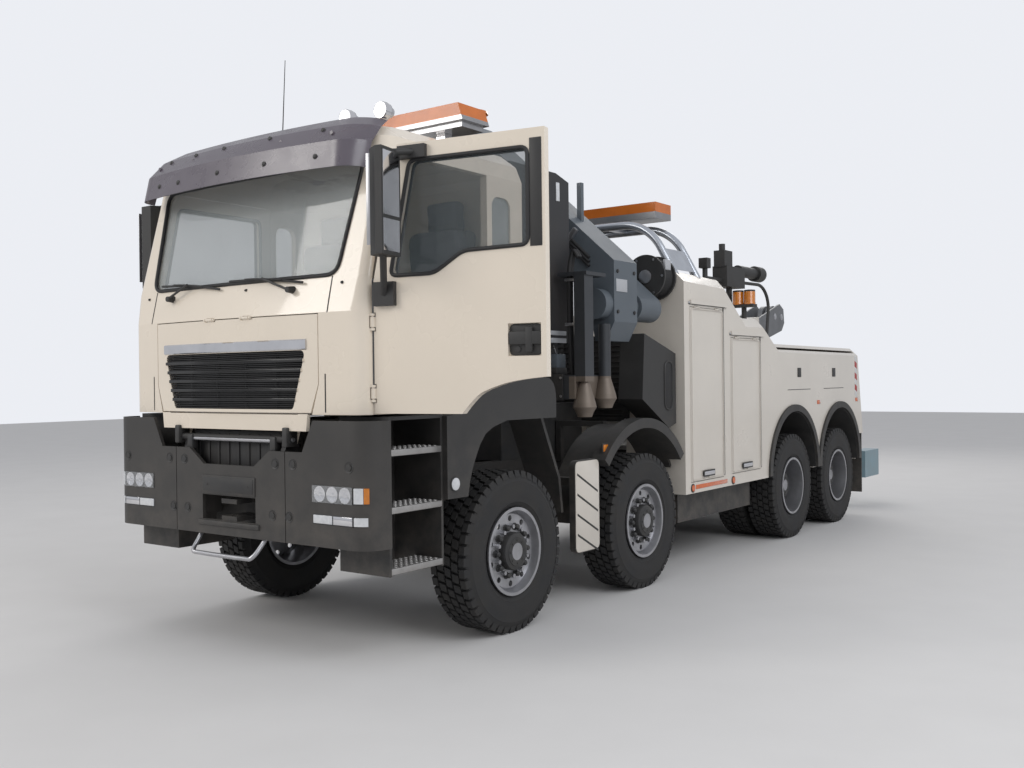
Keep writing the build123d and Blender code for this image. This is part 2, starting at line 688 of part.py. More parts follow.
# Bumper: a folded steel band in three pieces
with BuildPart() as bumper:
    for edge, mode in ((0, Mode.ADD), (BUMPER_WALL, Mode.SUBTRACT)):
        half = BUMPER_HALF - edge
        with BuildSketch(Plane.XY.offset(up(BUMPER_BOTTOM))):
            with BuildLine():
                FilletPolyline((-half, aft(BUMPER_REAR)), (-half, aft(BUMPER_FACE + edge)),
                               (half, aft(BUMPER_FACE + edge)), (half, aft(BUMPER_REAR)),
                               radius=BUMPER_CORNER_R - edge, close=False)
                Line((half, aft(BUMPER_REAR)), (-half, aft(BUMPER_REAR)))
            make_face()
        extrude(amount=BUMPER_RISE - BUMPER_BOTTOM, mode=mode)
    front_prism(both_sides(((RISE_OUTER, up(BUMPER_RISE) + 10), (RISE_INNER, up(BUMPER_TOP)),
                            (NOTCH_TOP_HALF, up(BUMPER_TOP)), (NOTCH_LOW_HALF, up(NOTCH_LOW)))),
                aft(BUMPER_FACE) - 20, aft(BUMPER_REAR) + 20, mode=Mode.SUBTRACT)
    block(-SLOT_HALF, SLOT_HALF, aft(BUMPER_FACE) - 20, aft(BUMPER_INSIDE) + 20, up(SLOT_LOW), up(SLOT_HIGH),
          mode=Mode.SUBTRACT)
    for side in SIDES.values():
        groove = sorted((side * (SEAM_X - SEAM_WIDTH / 2), side * (SEAM_X + SEAM_WIDTH / 2)))
        block(*groove, aft(BUMPER_FACE) - 5, aft(BUMPER_FACE) + SEAM_WIDTH, up(BUMPER_BOTTOM) - 5,
              up(BUMPER_TOP) + 5, mode=Mode.SUBTRACT)
        lamp = sorted((side * LAMP_INNER, side * LAMP_OUTER))
        for low, high in (HEAD_LAMP, FOG_LAMP):
            block(*lamp, aft(BUMPER_FACE) - 20, aft(BUMPER_FACE) + LAMP_DEPTH + 20, up(low), up(high),
                  mode=Mode.SUBTRACT)
save(bumper.part, "bumper")

# Lamps in the bumper's pockets
with BuildPart() as front_lamps:
    for side in SIDES.values():
        lamp = sorted((side * LAMP_INNER, side * LAMP_OUTER))
        for low, high in (HEAD_LAMP, FOG_LAMP):
            block(*lamp, aft(BUMPER_FACE) + LAMP_RECESS, aft(BUMPER_FACE) + LAMP_DEPTH, up(low), up(high))
save(front_lamps.part, "front_lamps")


# Cab
def cab_face(section, inset, height):
    """One plan section of the cab, taken in by a wall."""
    half = section[1] - inset
    front = section[2] + inset
    corner_y = front + section[3]
    radius = max(section[4] - inset, 12)
    rear = section[5] - inset
    lean = radius * (1 - cos(radians(45)))
    with BuildSketch(Plane.XY.offset(up(height))) as face:
        with BuildLine():
            Line((half, aft(rear)), (half, aft(corner_y + radius)))
            ThreePointArc((half, aft(corner_y + radius)), (half - lean, aft(corner_y + lean)),
                          (half - radius, aft(corner_y)))
            ThreePointArc((half - radius, aft(corner_y)), (0, aft(front)), (-half + radius, aft(corner_y)))
            ThreePointArc((-half + radius, aft(corner_y)), (-half + lean, aft(corner_y + lean)),
                          (-half, aft(corner_y + radius)))
            Line((-half, aft(corner_y + radius)), (-half, aft(rear)))
            Line((-half, aft(rear)), (half, aft(rear)))
        make_face()
    return face.sketch


def cab_loft(inset, mode=Mode.ADD, bottom=CAB_FLOOR):
    """The cab's outer form, or the same form taken in by a wall."""
    last = len(CAB_SECTIONS) - 1
    heights = [section[0] - (inset if index > last - 3 else 0) for index, section in enumerate(CAB_SECTIONS)]
    heights[0] = bottom
    loft([cab_face(section, inset, height) for section, height in zip(CAB_SECTIONS, heights)],
         ruled=True, mode=mode)


def door_points():
    """The closed left door's outline, as (y, z)."""
    return tuple((aft(DOOR_HINGE + s), up(h)) for s, h in (*DOOR_OUTLINE, *eased(DOOR_CURVE, 3)))


def side_face(points, x0, grow=0, round_by=0):
    """A flat (y, z) outline at a distance from the centre plane, grown by a gap."""
    with BuildSketch(Plane.YZ.offset(x0)) as outline:
        with BuildLine():
            Polyline(*points, close=True)
        make_face()
        if round_by:
            fillet(outline.vertices(), round_by)
        if grow:
            offset(amount=grow, kind=Kind.INTERSECTION)
    return outline.sketch


FLAP_OUTLINE = ((FLAP_HALF, up(FLAP_TOP)), (FLAP_HALF, up(1700)), (FLAP_LOW_HALF, up(FLAP_LOW)))
WINDOW_POINTS = tuple((aft(DOOR_HINGE + s), up(h)) for s, h in DOOR_WINDOW)
SIDE_PANE = tuple((aft(y), up(h)) for y, h in ((SIDE_WINDOW[0], SIDE_WINDOW[2]), (SIDE_WINDOW[1], SIDE_WINDOW[2]),
                                               (SIDE_WINDOW[1], SIDE_WINDOW[3]), (SIDE_WINDOW[0], SIDE_WINDOW[3])))
SCREEN_POINTS = both_sides(tuple((x, up(h)) for x, h in SCREEN))
ARCH_CUT = ((-1040, CAB_FLOOR - 120), (-651, CAB_FLOOR - 120), (-651, 1522), (-525, 1650), (-383, 1702),
            (-128, 1740), (CAB_REAR + 20, 1740), (CAB_REAR + 20, CAB_FLOOR - 120))
ARCH_LINER = ((-690, CAB_FLOOR + 10), (-690, 1545), (-548, 1682), (-392, 1735), (-132, 1775),
              (CAB_REAR - 2, 1775), (CAB_REAR - 2, CAB_FLOOR + 10))
ARCH_IN = 790

with BuildPart() as flap_pocket:
    cab_loft(-8)
    cab_loft(FLAP_THICK + FLAP_GAP, mode=Mode.SUBTRACT, bottom=CAB_FLOOR - 200)
    grown = both_sides(((FLAP_HALF + FLAP_GAP, up(FLAP_TOP) + FLAP_GAP), (FLAP_HALF + FLAP_GAP, up(1700)),
                        (FLAP_LOW_HALF + FLAP_GAP, up(CAB_FLOOR) - 20)))
    front_prism(grown, aft(-1600), aft(-1200), mode=Mode.INTERSECT)

with BuildPart() as cab_shell:
    cab_loft(0)
    cab_loft(CAB_WALL, mode=Mode.SUBTRACT, bottom=CAB_FLOOR + CAB_FLOOR_THICK)
    for side in SIDES.values():
        liner = sorted((side * (ARCH_IN - 30), side * (CAB_HALF - CAB_WALL + 1)))
        side_prism(tuple((aft(y), up(h)) for y, h in ARCH_LINER), *liner)
        arch = sorted((side * ARCH_IN, side * (CAB_HALF + 20)))
        side_prism(tuple((aft(y), up(h)) for y, h in ARCH_CUT), *arch, mode=Mode.SUBTRACT)
        ear = sorted((side * (PIVOT_HALF - 45), side * (PIVOT_HALF - 10)))
        side_prism(((aft(PIVOT_Y) - 40, up(PIVOT_HEIGHT) - 40), (aft(PIVOT_Y) + 45, up(PIVOT_HEIGHT) - 40),
                    (aft(PIVOT_Y) + 110, up(CAB_FLOOR) + 5), (aft(PIVOT_Y) + 10, up(CAB_FLOOR) + 5),
                    (aft(PIVOT_Y) - 30, up(PIVOT_HEIGHT) + 50)), *ear)
    low_front = both_sides(((CAB_LOW_HALF, up(CAB_FLOOR) + 4), (CAB_LOW_HALF - 12, up(CAB_LOW))))
    with BuildSketch(Plane.XZ.offset(-aft(-1385))) as low_panel:
        with BuildLine():
            Polyline(*low_front, close=True)
        make_face()
    extrude(low_panel.sketch, amount=-26)
    rod((-PIVOT_HALF - 5, aft(PIVOT_Y), up(PIVOT_HEIGHT)), (PIVOT_HALF + 5, aft(PIVOT_Y), up(PIVOT_HEIGHT)),
        PIVOT_R + KINGPIN_GAP, mode=Mode.SUBTRACT)
    front_prism(SCREEN_POINTS, aft(-1500), aft(-950), mode=Mode.SUBTRACT, round_by=SCREEN_R)
    for x in (-1200, 1000):
        extrude(side_face(door_points(), x, grow=DOOR_GAP), amount=200, mode=Mode.SUBTRACT)
        extrude(side_face(SIDE_PANE, x, round_by=SCREEN_R), amount=200, mode=Mode.SUBTRACT)
    for x_in, x_out, low, high in REAR_WINDOWS:
        for side in SIDES.values():
            front_prism(((side * x_in, up(low)), (side * x_out, up(low)), (side * x_out, up(high)),
                         (side * x_in, up(high))), aft(CAB_REAR) - 100, aft(CAB_REAR) + 20,
                        mode=Mode.SUBTRACT, round_by=50)
    add(flap_pocket.part, mode=Mode.SUBTRACT)
    for side in SIDES.values():
        for height in DOOR_HINGE_H:
            hinge_lugs((side * (CAB_HALF + DOOR_HINGE_OUT), aft(DOOR_HINGE), up(height)), (0, 0, 1), DOOR_HINGE_R)
        hinge_lugs((side * FLAP_HINGE[0], aft(FLAP_HINGE[1]), up(FLAP_HINGE[2])), (1, 0, 0), LEAF_HINGE_R)
save(cab_shell.part, "cab_shell")

with BuildPart() as cab_glass:
    cab_loft(GLASS_DEEP)
    cab_loft(GLASS_DEEP + GLASS, mode=Mode.SUBTRACT, bottom=CAB_FLOOR - 50)
    front_prism(SCREEN_POINTS, aft(-1500), aft(-950), mode=Mode.INTERSECT, round_by=SCREEN_R)
    for side in SIDES.values():
        x_out = side * (CAB_HALF - GLASS_DEEP)
        extrude(side_face(SIDE_PANE, x_out - (GLASS if side > 0 else 0), round_by=SCREEN_R), amount=GLASS)
        for x_in, x_out, low, high in REAR_WINDOWS:
            front_prism(((side * x_in, up(low)), (side * x_out, up(low)), (side * x_out, up(high)),
                         (side * x_in, up(high))), aft(CAB_REAR) - GLASS_DEEP - GLASS,
                        aft(CAB_REAR) - GLASS_DEEP, round_by=50)
save(cab_glass.part, "cab_glass")


# Sun visor: a smoked sheet on five stubs, wrapped round the cab's corners
def visor_face(section):
    """A thin curved strip at one height."""
    height, front, sag, corner, half = section
    ends = []
    with BuildSketch(Plane.XY.offset(up(height))) as face:
        with BuildLine():
            for inset in (0, VISOR_THICK):
                radius = corner - inset
                reach = half - inset
                y = aft(front + sag) + inset
                lean = radius * (1 - cos(radians(45)))
                ThreePointArc((-reach, y + radius), (-reach + lean, y + lean), (-reach + radius, y))
                ThreePointArc((-reach + radius, y), (0, aft(front) + inset), (reach - radius, y))
                ThreePointArc((reach - radius, y), (reach - lean, y + lean), (reach, y + radius))
                ends.append((reach, y + radius))
            for side in SIDES.values():
                Line((side * ends[0][0], ends[0][1]), (side * ends[1][0], ends[1][1]))
        make_face()
    return face.sketch


with BuildPart() as sun_visor:
    loft([visor_face(section) for section in VISOR_SECTIONS], ruled=True)
    rise = (VISOR_STUB_H - VISOR_SECTIONS[1][0]) / (VISOR_SECTIONS[2][0] - VISOR_SECTIONS[1][0])
    height, front, sag, corner, half = (low + (high - low) * rise
                                        for low, high in zip(VISOR_SECTIONS[1], VISOR_SECTIONS[2]))
    for share in VISOR_STUBS:
        rod((share * half, aft(front + sag * share ** 2) + VISOR_THICK / 2, up(height)),
            (share * half, aft(VISOR_STUB_END), up(height) - 30), VISOR_STUB_R)
    add(cab_shell.part, mode=Mode.SUBTRACT)
save(sun_visor.part, "sun_visor")

# Roof gear: a tube across the roof with lamps, and the beacon bar on its feet
with BuildPart() as roof_gear:
    rod((-ROOF_TUBE_HALF, aft(ROOF_TUBE_Y), up(ROOF_TUBE_H)), (ROOF_TUBE_HALF, aft(ROOF_TUBE_Y), up(ROOF_TUBE_H)),
        ROOF_TUBE_R)
    for x in ROOF_LAMPS:
        y = aft(ROOF_TUBE_Y)
        rod((x, y - 55, up(ROOF_LAMP_H)), (x, y + 5, up(ROOF_LAMP_H)), ROOF_LAMP_R)
        rod((x, y, up(ROOF_LAMP_H)), (x, y + 45, up(ROOF_LAMP_H)), ROOF_LAMP_R * 0.6)
    for side in SIDES.values():
        rod((side * 700, aft(ROOF_TUBE_Y), up(3250)), (side * 700, aft(ROOF_TUBE_Y), up(ROOF_TUBE_H)), 14)
        foot = sorted((side * (BEACON_HALF - 330), side * (BEACON_HALF - 250)))
        block(*foot, aft(BEACON_Y) - 40, aft(BEACON_Y) + 40, up(3260), up(BEACON_LOW) + 5)
    block(-BEACON_HALF + 30, BEACON_HALF - 30, aft(BEACON_Y) - BEACON_DEEP / 2 + 30,
          aft(BEACON_Y) + BEACON_DEEP / 2 - 30, up(BEACON_LOW), up(BEACON_LOW) + 40)
    front_prism(((-BEACON_HALF, up(BEACON_LOW) + 40), (BEACON_HALF, up(BEACON_LOW) + 40),
                 (BEACON_HALF - 40, up(BEACON_TOP)), (-BEACON_HALF + 40, up(BEACON_TOP))),
                aft(BEACON_Y) - BEACON_DEEP / 2, aft(BEACON_Y) + BEACON_DEEP / 2)
    add(cab_shell.part, mode=Mode.SUBTRACT)
save(roof_gear.part, "roof_gear")

# Interior: dashboard, steering wheel, engine tunnel and two seats
FLOOR_TOP = up(CAB_FLOOR + CAB_FLOOR_THICK)
with BuildPart() as cab_interior:
    side_prism(((aft(-1290), FLOOR_TOP), (aft(-1010), FLOOR_TOP), (aft(-960), up(1900)), (aft(-900), up(2180)),
                (aft(-1010), up(2290)), (aft(-1240), up(2300)), (aft(-1290), up(2200))), -DASH_HALF, DASH_HALF)
    block(-260, 260, aft(-940), aft(CAB_REAR - CAB_WALL) - 20, FLOOR_TOP, FLOOR_TOP + TUNNEL_RISE)
    wheel_plane = Plane(origin=(SEAT_X, aft(-730), up(2290)), z_dir=(0, 0.5, 0.87))
    with BuildSketch(Plane(origin=wheel_plane.origin, x_dir=(0, 0.87, -0.5), z_dir=(1, 0, 0))) as grip:
        with Locations((WHEEL_RIM_R, 0)):
            Circle(WHEEL_GRIP_R)
    revolve(grip.sketch, axis=Axis(wheel_plane.origin, wheel_plane.z_dir))
    rod(tuple(wheel_plane.origin), tuple(wheel_plane.origin - wheel_plane.z_dir * WHEEL_COLUMN), 40)
    for turn in (90, 210, 330):
        spoke = Vector(cos(radians(turn)), sin(radians(turn)) * 0.87, -sin(radians(turn)) * 0.5)
        rod(tuple(wheel_plane.origin - wheel_plane.z_dir * 8),
            tuple(wheel_plane.origin + spoke * WHEEL_RIM_R - wheel_plane.z_dir * 2), 13)
    for side in SIDES.values():
        x0, x1 = side * SEAT_X - SEAT_HALF, side * SEAT_X + SEAT_HALF
        side_prism(((aft(-370), FLOOR_TOP), (aft(-30), FLOOR_TOP), (aft(-30), up(1985)), (aft(-370), up(1985))),
                   x0 + 60, x1 - 60)
        side_prism(((aft(-510), up(1980)), (aft(0), up(1960)), (aft(0), up(2100)), (aft(-510), up(2110))),
                   x0, x1, round_by=40)
        side_prism(((aft(-50), up(2085)), (aft(70), up(2060)), (aft(170), up(2760)), (aft(60), up(2780))),
                   x0 + 15, x1 - 15, round_by=40)
        side_prism(((aft(65), up(2790)), (aft(145), up(2780)), (aft(165), up(2980)), (aft(85), up(2990))),
                   x0 + 120, x1 - 120, round_by=30)
        rod((side * SEAT_X, aft(115), up(2700)), (side * SEAT_X, aft(120), up(2850)), 14)
    add(cab_shell.part, mode=Mode.SUBTRACT)
save(cab_interior.part, "cab_interior")

# Front flap with the grille: hinged along its top edge
with BuildPart() as front_flap:
    for inset, mode in ((0, Mode.ADD), (FLAP_THICK, Mode.SUBTRACT)):
        extrude(cab_face(CAB_SECTIONS[0], inset, FLAP_LOW), amount=FLAP_TOP - FLAP_LOW, mode=mode)
    front_prism(both_sides(FLAP_OUTLINE), aft(-1600), aft(-1340), mode=Mode.INTERSECT)
    grille = both_sides(((GRILLE_TOP_HALF, up(GRILLE_TOP)), (GRILLE_LOW_HALF, up(GRILLE_LOW))))
    front_prism(grille, aft(-1500), aft(-1300), mode=Mode.SUBTRACT, round_by=30)
    for index in range(GRILLE_SLATS):
        middle = GRILLE_LOW + (index + 1) * (GRILLE_TOP - GRILLE_LOW) / (GRILLE_SLATS + 1)
        half = GRILLE_LOW_HALF + (GRILLE_TOP_HALF - GRILLE_LOW_HALF) * (middle - GRILLE_LOW) / (
            GRILLE_TOP - GRILLE_LOW) + 6
        block(-half, half, aft(-1383), aft(-1366), up(middle) - SLAT_HALF, up(middle) + SLAT_HALF)
    for side in SIDES.values():
        hinge_sleeve((side * FLAP_HINGE[0], aft(FLAP_HINGE[1]), up(FLAP_HINGE[2])), (1, 0, 0), LEAF_HINGE_R)
save(front_flap.part, "front_flap")

# Doors, built closed on the left; the left one stands open and the right one is its closed mirror image
HINGE_AXIS = Axis((CAB_HALF + DOOR_HINGE_OUT, aft(DOOR_HINGE), 0), (0, 0, 1))
with BuildPart() as door:
    extrude(side_face(door_points(), CAB_HALF - CAB_WALL), amount=CAB_WALL)
    extrude(side_face(WINDOW_POINTS, CAB_HALF - CAB_WALL - 10, round_by=DOOR_WINDOW_R), amount=CAB_WALL + 20,
            mode=Mode.SUBTRACT)
    block(CAB_HALF - HANDLE_DEPTH, CAB_HALF + 10, aft(DOOR_HINGE + HANDLE[0]), aft(DOOR_HINGE + HANDLE[1]),
          up(HANDLE[2]), up(HANDLE[3]), mode=Mode.SUBTRACT)
    block(CAB_HALF - HANDLE_DEPTH - 2, CAB_HALF - 2, aft(DOOR_HINGE + HANDLE[0] + 30),
          aft(DOOR_HINGE + HANDLE[1] - 30), up(HANDLE[2]) + 70, up(HANDLE[3]) - 60)
    for height in DOOR_HINGE_H:
        hinge_sleeve((CAB_HALF + DOOR_HINGE_OUT, aft(DOOR_HINGE), up(height)), (0, 0, 1), DOOR_HINGE_R)
with BuildPart() as door_glass:
    extrude(side_face(WINDOW_POINTS, CAB_HALF - GLASS_DEEP - GLASS, round_by=DOOR_WINDOW_R), amount=GLASS)
with BuildPart() as mirror_unit:
    with BuildSketch(Plane.XY.offset(up(MIRROR_LOW))):
        with BuildLine():
            Polyline((MIRROR_IN, aft(MIRROR_BACK)), (MIRROR_OUT, aft(MIRROR_BACK)),
                     (MIRROR_OUT, aft(MIRROR_BACK - 40)), (MIRROR_OUT - 60, aft(MIRROR_FRONT)),
                     (MIRROR_IN + 30, aft(MIRROR_FRONT)), (MIRROR_IN, aft(MIRROR_BACK - 60)), close=True)
        make_face()
    extrude(amount=MIRROR_TOP - MIRROR_LOW)
    middle_x = (MIRROR_IN + MIRROR_OUT) / 2
    middle_y = aft((MIRROR_FRONT + MIRROR_BACK) / 2)
    for foot_low, foot_high, foot_front, foot_rear, tip in MIRROR_FEET:
        block(CAB_HALF, CAB_HALF + 34, aft(foot_front), aft(foot_rear), up(foot_low), up(foot_high))
        rod((CAB_HALF + 24, aft((foot_front + foot_rear) / 2), up((foot_low + foot_high) / 2)),
            (middle_x, middle_y, up(tip)), MIRROR_ARM_R)
for piece, name in ((door, "door"), (door_glass, "door_glass"), (mirror_unit, "mirror")):
    save(piece.part.rotate(HINGE_AXIS, -DOOR_OPEN), f"{name}_left")
    save(mirror(piece.part, about=Plane.YZ), f"{name}_right")

# Step wells in front of the first wheels
with BuildPart() as step_wells:
    for side in SIDES.values():
        well = sorted((side * WELL_IN, side * WELL_OUT))
        hollow = sorted((side * (WELL_IN + WELL_WALL), side * (WELL_OUT + 20)))
        side_prism(((aft(WELL_FRONT), up(WELL_LOW)), (aft(WELL_REAR), up(WELL_LOW)), (aft(WELL_REAR), up(WELL_TOP)),
                    (aft(WELL_FRONT), up(WELL_TOP))), *well)
        block(*hollow, aft(WELL_FRONT) + WELL_WALL, aft(WELL_REAR) - WELL_WALL, up(WELL_LOW) - 1,
              up(WELL_TOP) - WELL_WALL, mode=Mode.SUBTRACT)
        for height in TREADS:
            tread = sorted((side * (WELL_OUT - TREAD_DEEP), side * WELL_OUT))
            block(*tread, aft(WELL_FRONT) + WELL_WALL - 1, aft(WELL_REAR) - WELL_WALL + 1,
                  up(height) - TREAD_THICK, up(height))
        arm = sorted((side * (RAIL_X + 0.3), side * (WELL_IN + 1)))
        block(*arm, aft(-1100), aft(-1040), up(960), up(1030))
save(step_wells.part, "step_wells")


def arch_band(centre, radius, wall, start, end, x0, x1):
    """A bent strip over a wheel: angles run from straight back, over the top, to the front."""
    with BuildSketch(Plane.YZ.offset(x0)) as band:
        with BuildLine():
            inner = CenterArc(centre, radius, start, end - start)
            outer = CenterArc(centre, radius + wall, start, end - start)
            Line(inner @ 0, outer @ 0)
            Line(inner @ 1, outer @ 1)
        make_face()
    extrude(band.sketch, amount=x1 - x0)


# Fenders over the steered wheels, and rubber trims round the rear arches
with BuildPart() as fenders:
    for side in SIDES.values():
        skin = sorted((side * (FENDER_OUT - 130), side * FENDER_OUT))
        skin_line = (FENDER_FOOT, *eased(FENDER_TOP, 3), *eased(FENDER_ARCH, 3))
        side_prism(tuple((aft(y), up(h)) for y, h in skin_line), *skin)
        wide = sorted((side * FENDER_IN, side * (FENDER_OUT - 129)))
        liner_line = (*eased(LINER_ARCH, 3), *LINER_REAR, *eased(LINER_BACK, 3))
        side_prism(tuple((aft(y), up(h)) for y, h in liner_line), *wide)
        arch_band((aft(AXLE_AT["2"]), AXLE_Z), FENDER_2_R, FENDER_WALL, 30, FENDER_2_END, *wide)
        lip = sorted((side * (FENDER_OUT - 131), side * FENDER_OUT))
        arch_band((aft(AXLE_AT["2"]), AXLE_Z), FENDER_2_R, FENDER_2_LIP, 37, 140, *lip)
        for y, height in FENDER_ARMS:
            arm = sorted((side * (RAIL_X + 0.3), side * (FENDER_IN + 30)))
            block(*arm, aft(y) - 25, aft(y) + 25, up(height), up(height) + 45)
            post = sorted((side * (RAIL_X + 0.3), side * (RAIL_X + 50)))
            block(*post, aft(y) - 25, aft(y) + 25, up(RAIL_TOP) - 60, up(height) + 45)
        for centre in REAR_ARCHES:
            trim = sorted((side * (BODY_OUT - 40), side * (BODY_OUT + TRIM_PROUD)))
            arch_band((aft(centre), up(ARCH_CENTRE)), ARCH_R, TRIM_WIDTH, 0, 180, *trim)
save(fenders.part, "fenders")

# Recovery body: a hollow box each side with two lockers, and its deck between


def body_prism(points, x0, x1, mode=Mode.ADD):
    """A (distance, height) outline along the body, drawn out along X."""
    side_prism(tuple((aft(y), up(h)) for y, h in points), x0, x1, mode=mode)


def locker_opening(opening):
    """A locker's door opening."""
    front, rear, low, top = opening
    return aft(front), aft(rear), up(low), up(top)


def locker_hinges(opening):
    """The middles of a locker door's two hinges."""
    front, rear, low, top = locker_opening(opening)
    return [(BODY_OUT + LOCKER_HINGE[0], y, top + LOCKER_HINGE[1])
            for y in (front + LOCKER_HINGE_IN, rear - LOCKER_HINGE_IN)]


with BuildPart() as body:
    body_prism(BODY_SIDE, BODY_IN, BODY_OUT)
    outer_edges = [edge for edge in body.edges().filter_by_position(Axis.X, BODY_OUT - 1, BODY_OUT + 1)
                   if edge.center().Z > up(2030) and abs(edge.tangent_at(0.5).Y) > 0.3]
    chamfer(outer_edges, BODY_EDGE)
    for opening in LOCKERS.values():
        front, rear, low, top = locker_opening(opening)
        block(BODY_IN + BODY_WALL, BODY_OUT - LOCKER_DEEP - 8, front + LOCKER_LIP, rear - LOCKER_LIP,
              low + LOCKER_LIP, top - LOCKER_LIP, mode=Mode.SUBTRACT)
        block(BODY_OUT - LOCKER_DEEP - 9, BODY_OUT + 10, front - LOCKER_GAP, rear + LOCKER_GAP,
              low - LOCKER_GAP, top + LOCKER_GAP, mode=Mode.SUBTRACT)
        block(BODY_IN + BODY_WALL - 1, BODY_OUT - 120, front + LOCKER_LIP - 1, rear - LOCKER_LIP + 1,
              low + SHELF_UP, low + SHELF_UP + BODY_WALL)
        block(BODY_OUT - 1, BODY_OUT + GUTTER[0], front - 10, rear + 90, top + 28, top + 28 + GUTTER[1])
        for middle in locker_hinges(opening):
            hinge_lugs(middle, (0, 1, 0), LEAF_HINGE_R)
    for centre in REAR_ARCHES:
        rod((BODY_IN - 10, aft(centre), up(ARCH_CENTRE)), (BODY_OUT + 10, aft(centre), up(ARCH_CENTRE)), ARCH_R,
            mode=Mode.SUBTRACT)
        block(BODY_IN - 10, BODY_OUT + 10, aft(centre) - ARCH_R, aft(centre) + ARCH_R, up(BODY_LOW) - 20,
              up(ARCH_CENTRE), mode=Mode.SUBTRACT)
        trim = (BODY_OUT - TRIM_DEEP, BODY_OUT + 10)
        rod((trim[0], aft(centre), up(ARCH_CENTRE)), (trim[1], aft(centre), up(ARCH_CENTRE)),
            ARCH_R + TRIM_WIDTH + SPINDLE_GAP, mode=Mode.SUBTRACT)
    block(BODY_OUT - TRIM_DEEP, BODY_OUT + 10, aft(REAR_ARCHES[0]) - ARCH_R - TRIM_WIDTH,
          aft(REAR_ARCHES[1]) + ARCH_R + TRIM_WIDTH, up(BODY_LOW) - 20, up(ARCH_CENTRE), mode=Mode.SUBTRACT)
    body_prism(((4420, 2010), (4646, 2015), (7050, 2005), (7050, 1425), (4420, 1425)), BODY_IN + BODY_WALL,
               BODY_OUT - BODY_WALL, mode=Mode.SUBTRACT)
save(body.part, "body_left")
save(mirror(body.part, about=Plane.YZ), "body_right")

for place, opening in LOCKERS.items():
    with BuildPart() as locker_door:
        front, rear, low, top = locker_opening(opening)
        block(BODY_OUT - LOCKER_DEEP, BODY_OUT, front, rear, low, top)
        block(BODY_OUT - 1, BODY_OUT + LATCH[2], rear - 60 - LATCH[0] - 120, rear - 180, low + 20, low + 20 + LATCH[1])
        for middle in locker_hinges(opening):
            hinge_sleeve(middle, (0, 1, 0), LEAF_HINGE_R)
    save(locker_door.part, f"locker_{place}_left")
    save(mirror(locker_door.part, about=Plane.YZ), f"locker_{place}_right")

# Deck with bearers, the boom's mast, two winch drums and the valve bank
with BuildPart() as deck:
    block(-DECK_HALF, DECK_HALF, aft(DECK_FRONT), aft(DECK_REAR), up(DECK_LOW), up(DECK_TOP))
    for at in BEARERS:
        block(-BODY_IN, BODY_IN, aft(at) - BEARER_HALF, aft(at) + BEARER_HALF, up(DECK_LOW), up(DECK_TOP))
    for side in SIDES.values():
        cheek = sorted((side * MAST_IN, side * MAST_OUT))
        side_prism(((aft(MAST_FRONT) - 160, up(DECK_TOP) - 1), (aft(MAST_REAR) + 240, up(DECK_TOP) - 1),
                    (aft(MAST_REAR) - 60, up(MAST_TOP) - 60), (aft(BOOM_PIVOT[0]) + 60, up(MAST_TOP)),
                    (aft(BOOM_PIVOT[0]) - 60, up(MAST_TOP)), (aft(MAST_FRONT), up(MAST_TOP) - 160)), *cheek)
        winch = sorted((side * (DRUM_HALF + 2), side * (DRUM_HALF + 22)))
        for y, height in DRUM_AT:
            side_prism(((aft(y) - 170, up(DECK_TOP) - 1), (aft(y) + 170, up(DECK_TOP) - 1),
                        (aft(y) + 90, up(height) + 90), (aft(y) - 90, up(height) + 90)), *winch)
        block(*sorted((side * (VALVES[0] - 200), side * (VALVES[0] - 160))), aft(VALVES[1]), aft(VALVES[2]),
              up(DECK_TOP) - 1, up(1500))
    block(-MAST_IN - 1, MAST_IN + 1, aft(MAST_FRONT) - 100, aft(MAST_FRONT) - 60, up(DECK_TOP) - 1, up(1500))
    for y, height in DRUM_AT:
        rod((-DRUM_HALF - 10, aft(y), up(height)), (DRUM_HALF + 10, aft(y), up(height)), DRUM_R)
        for side in SIDES.values():
            rod((side * DRUM_HALF, aft(y), up(height)), (side * (DRUM_HALF - 14), aft(y), up(height)), DRUM_FLANGE_R)
    rod((-MAST_OUT - 12, aft(BOOM_PIVOT[0]), up(BOOM_PIVOT[1])), (MAST_OUT + 12, aft(BOOM_PIVOT[0]), up(BOOM_PIVOT[1])),
        BOOM_PIN_R)
save(deck.part, "deck")


# Hoops over the lockers, joined by webs, with the rear beacon bar
def hoop(y):
    """One bent tube across the body."""
    foot_x, foot_h = HOOP_FOOT
    corner_x, corner_h = HOOP_CORNER
    with BuildLine() as path:
        FilletPolyline((-foot_x, aft(y), up(foot_h)), (-corner_x, aft(y), up(corner_h)),
                       (corner_x, aft(y), up(corner_h)), (foot_x, aft(y), up(foot_h)), radius=HOOP_BEND)
    start = path.line @ 0
    with BuildSketch(Plane(origin=start, z_dir=path.line % 0)) as section:
        Circle(HOOP_R)
    sweep(section.sketch, path=path.line)


with BuildPart() as hoops:
    for y in HOOP_AT:
        hoop(y)
    half, front, rear, low, top = REAR_BEACON
    block(-half, half, aft(front), aft(rear), up(low), up(top))
    for side in SIDES.values():
        foot = sorted((side * 380, side * 440))
        block(*foot, aft(HOOP_AT[0]) - 20, aft(HOOP_AT[1]) + 20, up(HOOP_CORNER[1]) - 12, up(HOOP_CORNER[1]) + 12)
        block(*foot, aft(front) + 40, aft(rear) - 40, up(HOOP_CORNER[1]), up(low) + 5)
        front_prism(((side * (HOOP_FOOT[0] - 10), up(2665)), (side * (HOOP_FOOT[0] - 22), up(2665)),
                     (side * 1024, up(2860)), (side * 1036, up(2860))), aft(HOOP_AT[0]), aft(HOOP_AT[1]))
    add(body.part, mode=Mode.SUBTRACT)
    add(mirror(body.part, about=Plane.YZ), mode=Mode.SUBTRACT)
save(hoops.part, "hoops")

